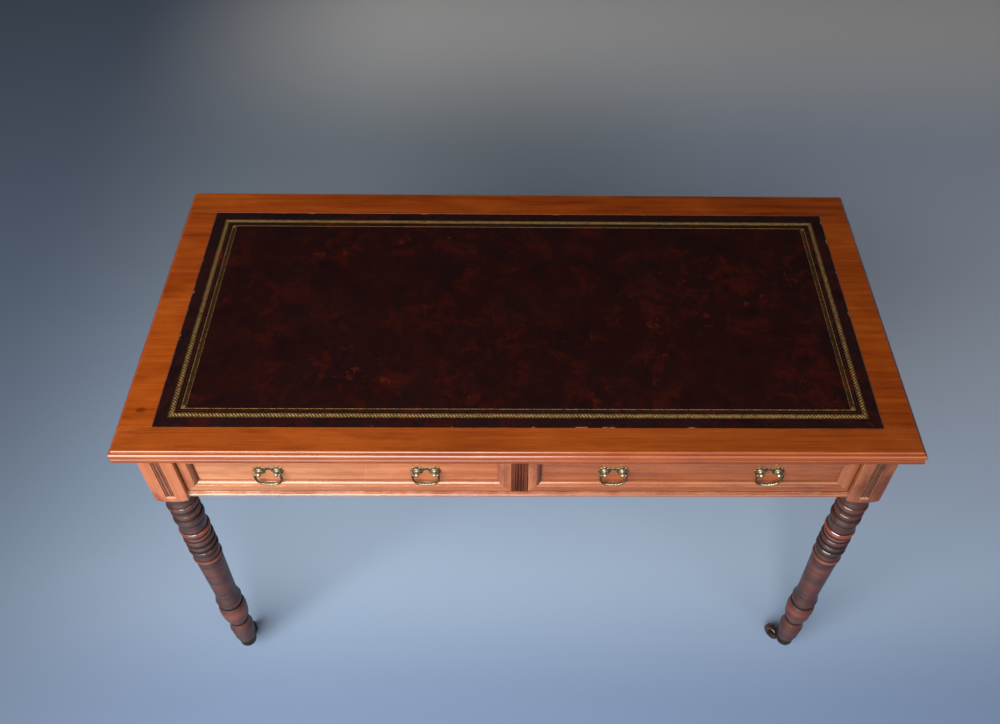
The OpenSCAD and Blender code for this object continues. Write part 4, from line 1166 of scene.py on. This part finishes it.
    def rubbed(self, height: Array) -> Array:
        """How far the dark polish is rubbed through to orange wood at each height, most on a few rings and the ball."""
        places = np.array([
            (604, 0.0), (585, 0.1), (575, 0.3), (560, 0.2), (546, 0.3), (538, 0.05), (512, 0.05), (500, 0.3),
            (496, 0.95), (481, 0.95), (470, 0.7), (463, 0.15), (418, 0.1), (404, 0.4), (400, 0.75), (390, 0.75),
            (385, 0.15), (374, 0.2), (366, 0.5), (342, 0.40), (326, 0.26), (310, 0.28), (300, 0.42), (284, 0.40),
            (268, 0.24), (250, 0.1), (225, 0.1), (212, 0.4), (204, 0.3), (196, 0.5), (188, 0.85), (176, 0.6),
            (166, 0.42), (154, 0.35), (144, 0.4), (136, 0.6), (122, 0.4), (110, 0.25), (96, 0.35), (84, 0.15),
            (72, 0.2), (59, 0.1),
        ])[::-1]
        return np.interp(height, places[:, 0], places[:, 1])

    def shaft(self) -> tuple[Array, Array, Array]:
        """The shaft's heights, with its radius and a tone at each: darker where it dips below its own running mean, and
        elsewhere how far it is rubbed."""
        plain_top, plain_foot = self.block_foot - self.taper_drop, self.toe + self.taper_foot
        heights = np.concatenate([
            np.arange(self.block_foot, plain_top, -0.8), np.arange(plain_top, plain_foot, -4.0),
            np.arange(plain_foot, self.toe, -0.8), [self.toe],
        ])
        radius = self.shaft_radius(heights)
        mean = np.convolve(np.pad(radius[::-1], 12, mode="edge"), np.ones(25) / 25.0, "valid")
        hollow = np.clip((radius - np.interp(heights, np.sort(heights), mean)) / 1.6, -1.0, 0.0)
        return heights, radius, np.where(hollow < -0.25, hollow, self.rubbed(heights))

    def build(self, shop: Workshop) -> None:
        """Builds the leg as one closed surface: block rows, then circles down the shaft."""
        heights, radius, wear = self.shaft()
        block_rows, block_crest = self.block_rows()
        columns = block_rows.shape[1]
        angle = math.atan2(block_rows[0, 0, 1], block_rows[0, 0, 0]) + around(columns)
        level = np.ones(columns)
        parts = [np.outer(radius, np.cos(angle)), np.outer(radius, np.sin(angle)), np.outer(heights, level)]
        side = 1.0 if "right" in self.corner else -1.0
        depth = -1.0 if "front" in self.corner else 1.0
        place = np.array([side * self.centre_x, depth * self.centre_y, 0.0])
        shell = Shell()
        shell.grid(block_rows + place, wrap=True, crest=block_crest)
        rows = np.concatenate([block_rows[-1:], np.stack(parts, axis=-1)])
        # The shaft's tone: rubbed wear, and darker in its hollows
        crest = np.outer(np.concatenate([[0.0], wear]), level)
        shell.grid(rows + place, wrap=True, slot=1, crest=crest)
        shell.close(0, list(range(columns - 1, -1, -1)))
        shell.close(1, list(range(shell.count - columns, shell.count)))
        seed = CORNERS.index(self.corner) * self.seed_step
        shop.stand_in(f"leg_{self.corner}", shell, UPRIGHT_TIMBER, TURNED_TIMBER, sharp_deg=50.0, seed=seed)


@dataclass
class Carcase:
    """What stands between and beside the drawers, the rails round the table, and the timber inside it."""

    def build(self, shop: Workshop) -> None:
        """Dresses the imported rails, runners and blocks."""
        shop.dress(FRONT_TIMBER, "front_top_rail", "back_rail")
        shop.dress(RAIL_TIMBER_WORN_AND_LIT, "front_bottom_rail")
        shop.dress(SIDE_TIMBER, "left_rail", "right_rail")
        shop.dress(DARK_TIMBER, "centre_stile")
        shop.dress(SOFTWOOD, "left_runner", "right_runner", "centre_runner", "kickers")
        shop.dress(CROSS_SOFTWOOD, "drawer_stops", "glue_blocks")


@dataclass
class Drawer:
    """A drawer: its dovetailed box, and the mitred moulding planted on its front."""

    side: str
    middle: float = 271.5
    half_width: float = 258.5
    low: float = 624.0
    high: float = 714.5
    panel_y: float = -263.0
    flat: float = 14.0
    proud: float = 8.0
    ovolo: float = 7.2
    mitre: float = 0.12
    shades: tuple[float, ...] = (0.0, -0.22, 0.0, -0.5)

    def section(self) -> Array:
        """The moulding's section as (distance inward, y): an eased outer corner, a flat, an eased inner corner,
        and a quarter round."""
        face = self.panel_y - self.proud
        outer = arc((0.6, face + 0.6), 0.6, 180.0, 270.0, 5)
        inner = arc((self.flat - 0.4, face + 0.4), 0.4, 270.0, 350.0, 4)
        swell = arc((self.flat, self.panel_y), self.ovolo, 270.0, 360.0, 14)
        return np.concatenate([[(0.0, self.panel_y)], outer, [(1.2, face)], inner, swell])

    def moulding(self) -> Shell:
        """Four lengths: each corner of the section follows a rectangle as far inward as it lies, cut a hair short
        of the mitres. The ovolo is shaded by its side of the rectangle."""
        section = self.section()
        centre = self.middle if self.side == "right" else -self.middle
        inward = section[:, 0]
        left, right = centre - self.half_width + inward, centre + self.half_width - inward
        bottom, top = self.low + inward, self.high - inward
        corners = [(left, bottom), (right, bottom), (right, top), (left, top)]
        shell = Shell()
        for number, (start, end, shade) in enumerate(zip(corners, corners[1:] + corners[:1], self.shades)):
            ends = []
            for here, there in ((start, end), (end, start)):
                across, up = there[0] - here[0], there[1] - here[1]
                share = self.mitre / np.hypot(across, up)
                ends.append(np.column_stack([here[0] + across * share, section[:, 1], here[1] + up * share]))
            tone = np.where(inward > self.flat - 0.2, shade, 0.0) * np.ones((2, 1))
            shell.grid(np.stack(ends), wrap=True, caps=True, slot=number % 2, crest=tone)
        return shell

    def build(self, shop: Workshop) -> None:
        """Builds the moulding and dresses the box."""
        name = f"{self.side}_drawer_"
        timber, seed = (SHADED_RIGHT_TIMBER, 0.9) if self.side == "right" else (FRONT_TIMBER, 0.2)
        shop.stand_in(name + "frame", self.moulding(), timber, UPRIGHT_TIMBER, seed=seed)
        shop.dress(timber, name + "front")
        shop.dress(SOFTWOOD, name + "outer_side", name + "inner_side")
        shop.dress(CROSS_SOFTWOOD, name + "back", name + "bottom")
        shop.dress(BRASS, f"{self.side}_handle_nuts")


@dataclass
class Handle:
    """A drawer handle: a pierced double rosette with two turned posts, and a bail that swings between them."""

    number: int
    centre_x: float
    panel_y: float = -263.0
    pivot_y: float = -272.0
    pivot_z: float = 671.0
    post_x: float = 14.0
    disc: float = 8.4
    lobe: float = 2.4
    lobes: int = 8
    plate: float = 1.6
    rib_from: float = 0.55
    arm_x: float = 20.4
    knob: float = 3.6
    grip_half: float = 11.0
    grip_bend: float = 34.0
    drop: float = 26.5
    rings: int = 9
    handled_arm: float = 0.12

    def rosette(self, x: float) -> Array:
        """A round plate with a scalloped rim: the rim's radius is the larger of the disc's and of each lobe's
        circle, and the height rises in ribs between the lobes towards a raised middle."""
        angle = around(96)
        step = math.tau / self.lobes
        off = (angle + step / 2.0) % step - step / 2.0
        lobe = np.sqrt(np.maximum(self.lobe**2 - (self.disc * np.sin(off)) ** 2, 0.0))
        rim = np.maximum(self.disc, self.disc * np.cos(off) + lobe)
        share = np.array([0.0, 0.3, 0.45, 0.55, 0.62, 0.68, 0.74, 0.8, 0.86, 0.91, 0.95, 0.98, 1.0, 1.0])[:, None]
        ribs = 0.5 + 0.5 * np.cos(self.lobes * angle)
        swell = np.sin(np.clip((share - self.rib_from) / (1.0 - self.rib_from), 0.0, 1.0) * math.pi) * ribs
        raised = 0.3 * np.clip(1.0 - share / self.rib_from, 0.0, 1.0)
        height = self.plate * (0.62 + 0.38 * np.clip(swell, 0.0, 1.0) + raised)
        height = height * np.sqrt(np.clip((1.0 - share) / 0.06, 0.12, 1.0))
        height[-1] = 0.0
        reach = share * rim
        parts = [x + reach * np.cos(angle), self.panel_y - height, self.pivot_z + reach * np.sin(angle)]
        return np.stack(parts, axis=-1)

    def link(self) -> Array:
        """The strap that joins the rosettes: its section is a low crown, as wide as a level foot and three
        scallops above it leave."""
        x = np.linspace(-self.post_x, self.post_x, 57)
        foot = np.full_like(x, 1.5)
        away = np.abs(x[:, None] - np.array([-5.0, 0.0, 5.0])[None])
        head = np.maximum(4.6, (5.0 + np.sqrt(np.maximum(2.2**2 - away**2, 0.0))).max(axis=1))
        turn = np.linspace(0.0, math.pi, 11)
        middle, half = (foot + head) / 2.0, (head - foot) / 2.0
        z = middle[:, None] + half[:, None] * np.cos(turn)
        crown = self.plate * 0.85 * np.sqrt(np.sin(turn)) + np.zeros_like(z)
        across = self.centre_x + x[:, None] + np.zeros_like(z)
        return np.stack([across, self.panel_y - crown, self.pivot_z + z], axis=-1)

    def post_outline(self) -> Array:
        """A turned post as (radius, distance out from the panel): shank, base with a bead, neck, and ball."""
        reach = self.panel_y - self.pivot_y
        bead = arc((5.6, 2.4), 0.9, -90.0, 90.0, 7)
        ball = arc((0.0, reach), self.knob, -48.0, 90.0, 14)
        shank = [(0.0, -19.0), (2.5, -19.0), (2.5, 0.2), (7.0, 0.2), (7.0, 0.9), (6.2, 1.5)]
        neck = [(4.6, 3.5), (3.3, 4.1), (2.6, 4.8), (2.5, reach - 3.0)]
        return np.concatenate([shank, bead, neck, ball])

    def build_plate(self, shop: Workshop) -> None:
        """Builds the plate, its link and its posts."""
        shell = Shell()
        for side in (-1.0, 1.0):
            x = self.centre_x + side * self.post_x
            shell.grid(self.rosette(x), wrap=True, caps=True)
            outline = self.post_outline() * (1.0, -1.0)
            post = revolve_about_y(outline, (x, self.panel_y, self.pivot_z))
            handled = np.clip((-outline[:, 1:] - 1.6) / 2.0, 0.0, 1.0) * np.ones(post.shape[1])
            shell.grid(post, wrap=True, crest=handled)
        shell.grid(self.link(), caps=True)
        shop.stand_in(f"handle_plate_{self.number}", shell, BRASS, sharp_deg=60.0)

    def bail_path(self) -> tuple[Array, Array]:
        """The bail's middle line and its radius from one pin to the other: pin, knuckle, arm, corner, ringed grip,
        and the same mirrored. The ringed grip's radius swells once for each ring."""
        bow = math.asin(self.grip_half / self.grip_bend)
        sag = self.grip_bend * (1.0 - math.cos(bow))
        bend = (self.arm_x - self.grip_half) / (1.0 - math.sin(bow))
        bend_z = sag - self.drop + bend * math.cos(bow)
        grip_start = -90.0 + math.degrees(bow)
        pin = np.column_stack([np.linspace(10.5, self.arm_x - 1.8, 6), np.zeros(6)])
        knuckle = arc((self.arm_x - 1.5, -1.5), 1.5, 80.0, 0.0, 6)
        ferrule = np.column_stack([np.full(6, self.arm_x), np.linspace(-2.0, bend_z, 6)])
        arm = arc((self.arm_x - bend, bend_z), bend, -4.0, grip_start, 22)
        grip = arc((0.0, self.grip_bend - self.drop), self.grip_bend, grip_start, -90.0, 60)[1:]
        half = np.concatenate([pin, knuckle, ferrule, arm, grip])
        corner = np.exp(-((np.hypot(arm[:, 0] - self.grip_half, arm[:, 1] + self.drop - sag) / 2.2) ** 2))
        swell = np.abs(np.cos(math.pi * (grip[:, 0] / self.grip_half * (self.rings / 2.0)))) ** 0.6
        ringed = np.where(grip[:, 0] > self.grip_half * 0.93, 2.3, 1.8 + 0.7 * swell)
        radius = np.concatenate([
            np.full(6, 1.6), np.full(6, 2.05), np.linspace(2.1, 2.0, 6), 1.75 + 0.5 * corner, ringed,
        ])
        path = np.concatenate([half, half[-2::-1] * (-1.0, 1.0)])
        return path, np.concatenate([radius, radius[-2::-1]])

    def build_bail(self, shop: Workshop) -> None:
        """Builds the bail as one tube."""
        path, radius = self.bail_path()
        bail = tube(path, radius, (self.centre_x, self.pivot_y, self.pivot_z))
        on_grip = np.abs(path[:, :1]) < self.grip_half
        ring = np.clip((radius[:, None] - 2.05) / 0.4, 0.0, 1.0)
        handled = np.where(on_grip, ring, self.handled_arm) * np.ones(bail.shape[1])
        shell = Shell()
        shell.grid(bail, wrap=True, caps=True, crest=handled)
        shop.stand_in(f"bail_{self.number}", shell, BRASS, sharp_deg=70.0)

    def build(self, shop: Workshop) -> None:
        """Builds the plate and the bail."""
        self.build_plate(shop)
        self.build_bail(shop)


@dataclass
class Caster:
    """A brass cup and horn with a glazed wheel, under one leg."""

    corner: str

    def build(self, shop: Workshop) -> None:
        """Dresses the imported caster."""
        shop.dress(TARNISHED, *(f"caster_{part}_{self.corner}" for part in ("cup", "horn", "axle")))
        shop.dress(STONEWARE, f"caster_wheel_{self.corner}")


def main() -> None:
    """Builds the studio and the table in order."""
    logging.basicConfig(level=logging.INFO, format="%(name)s: %(message)s")
    Studio().build()
    shop = Workshop()
    pieces: list = [Top(), Carcase()]
    for corner in CORNERS:
        pieces += [TurnedLeg(corner), Caster(corner)]
    pieces += [Drawer(side) for side in ("left", "right")]
    pieces += [Handle(number, x) for number, x in enumerate((-395.0, -148.0, 148.0, 395.0), start=1)]
    for piece in pieces:
        piece.build(shop)


if __name__ == "__main__":
    main()
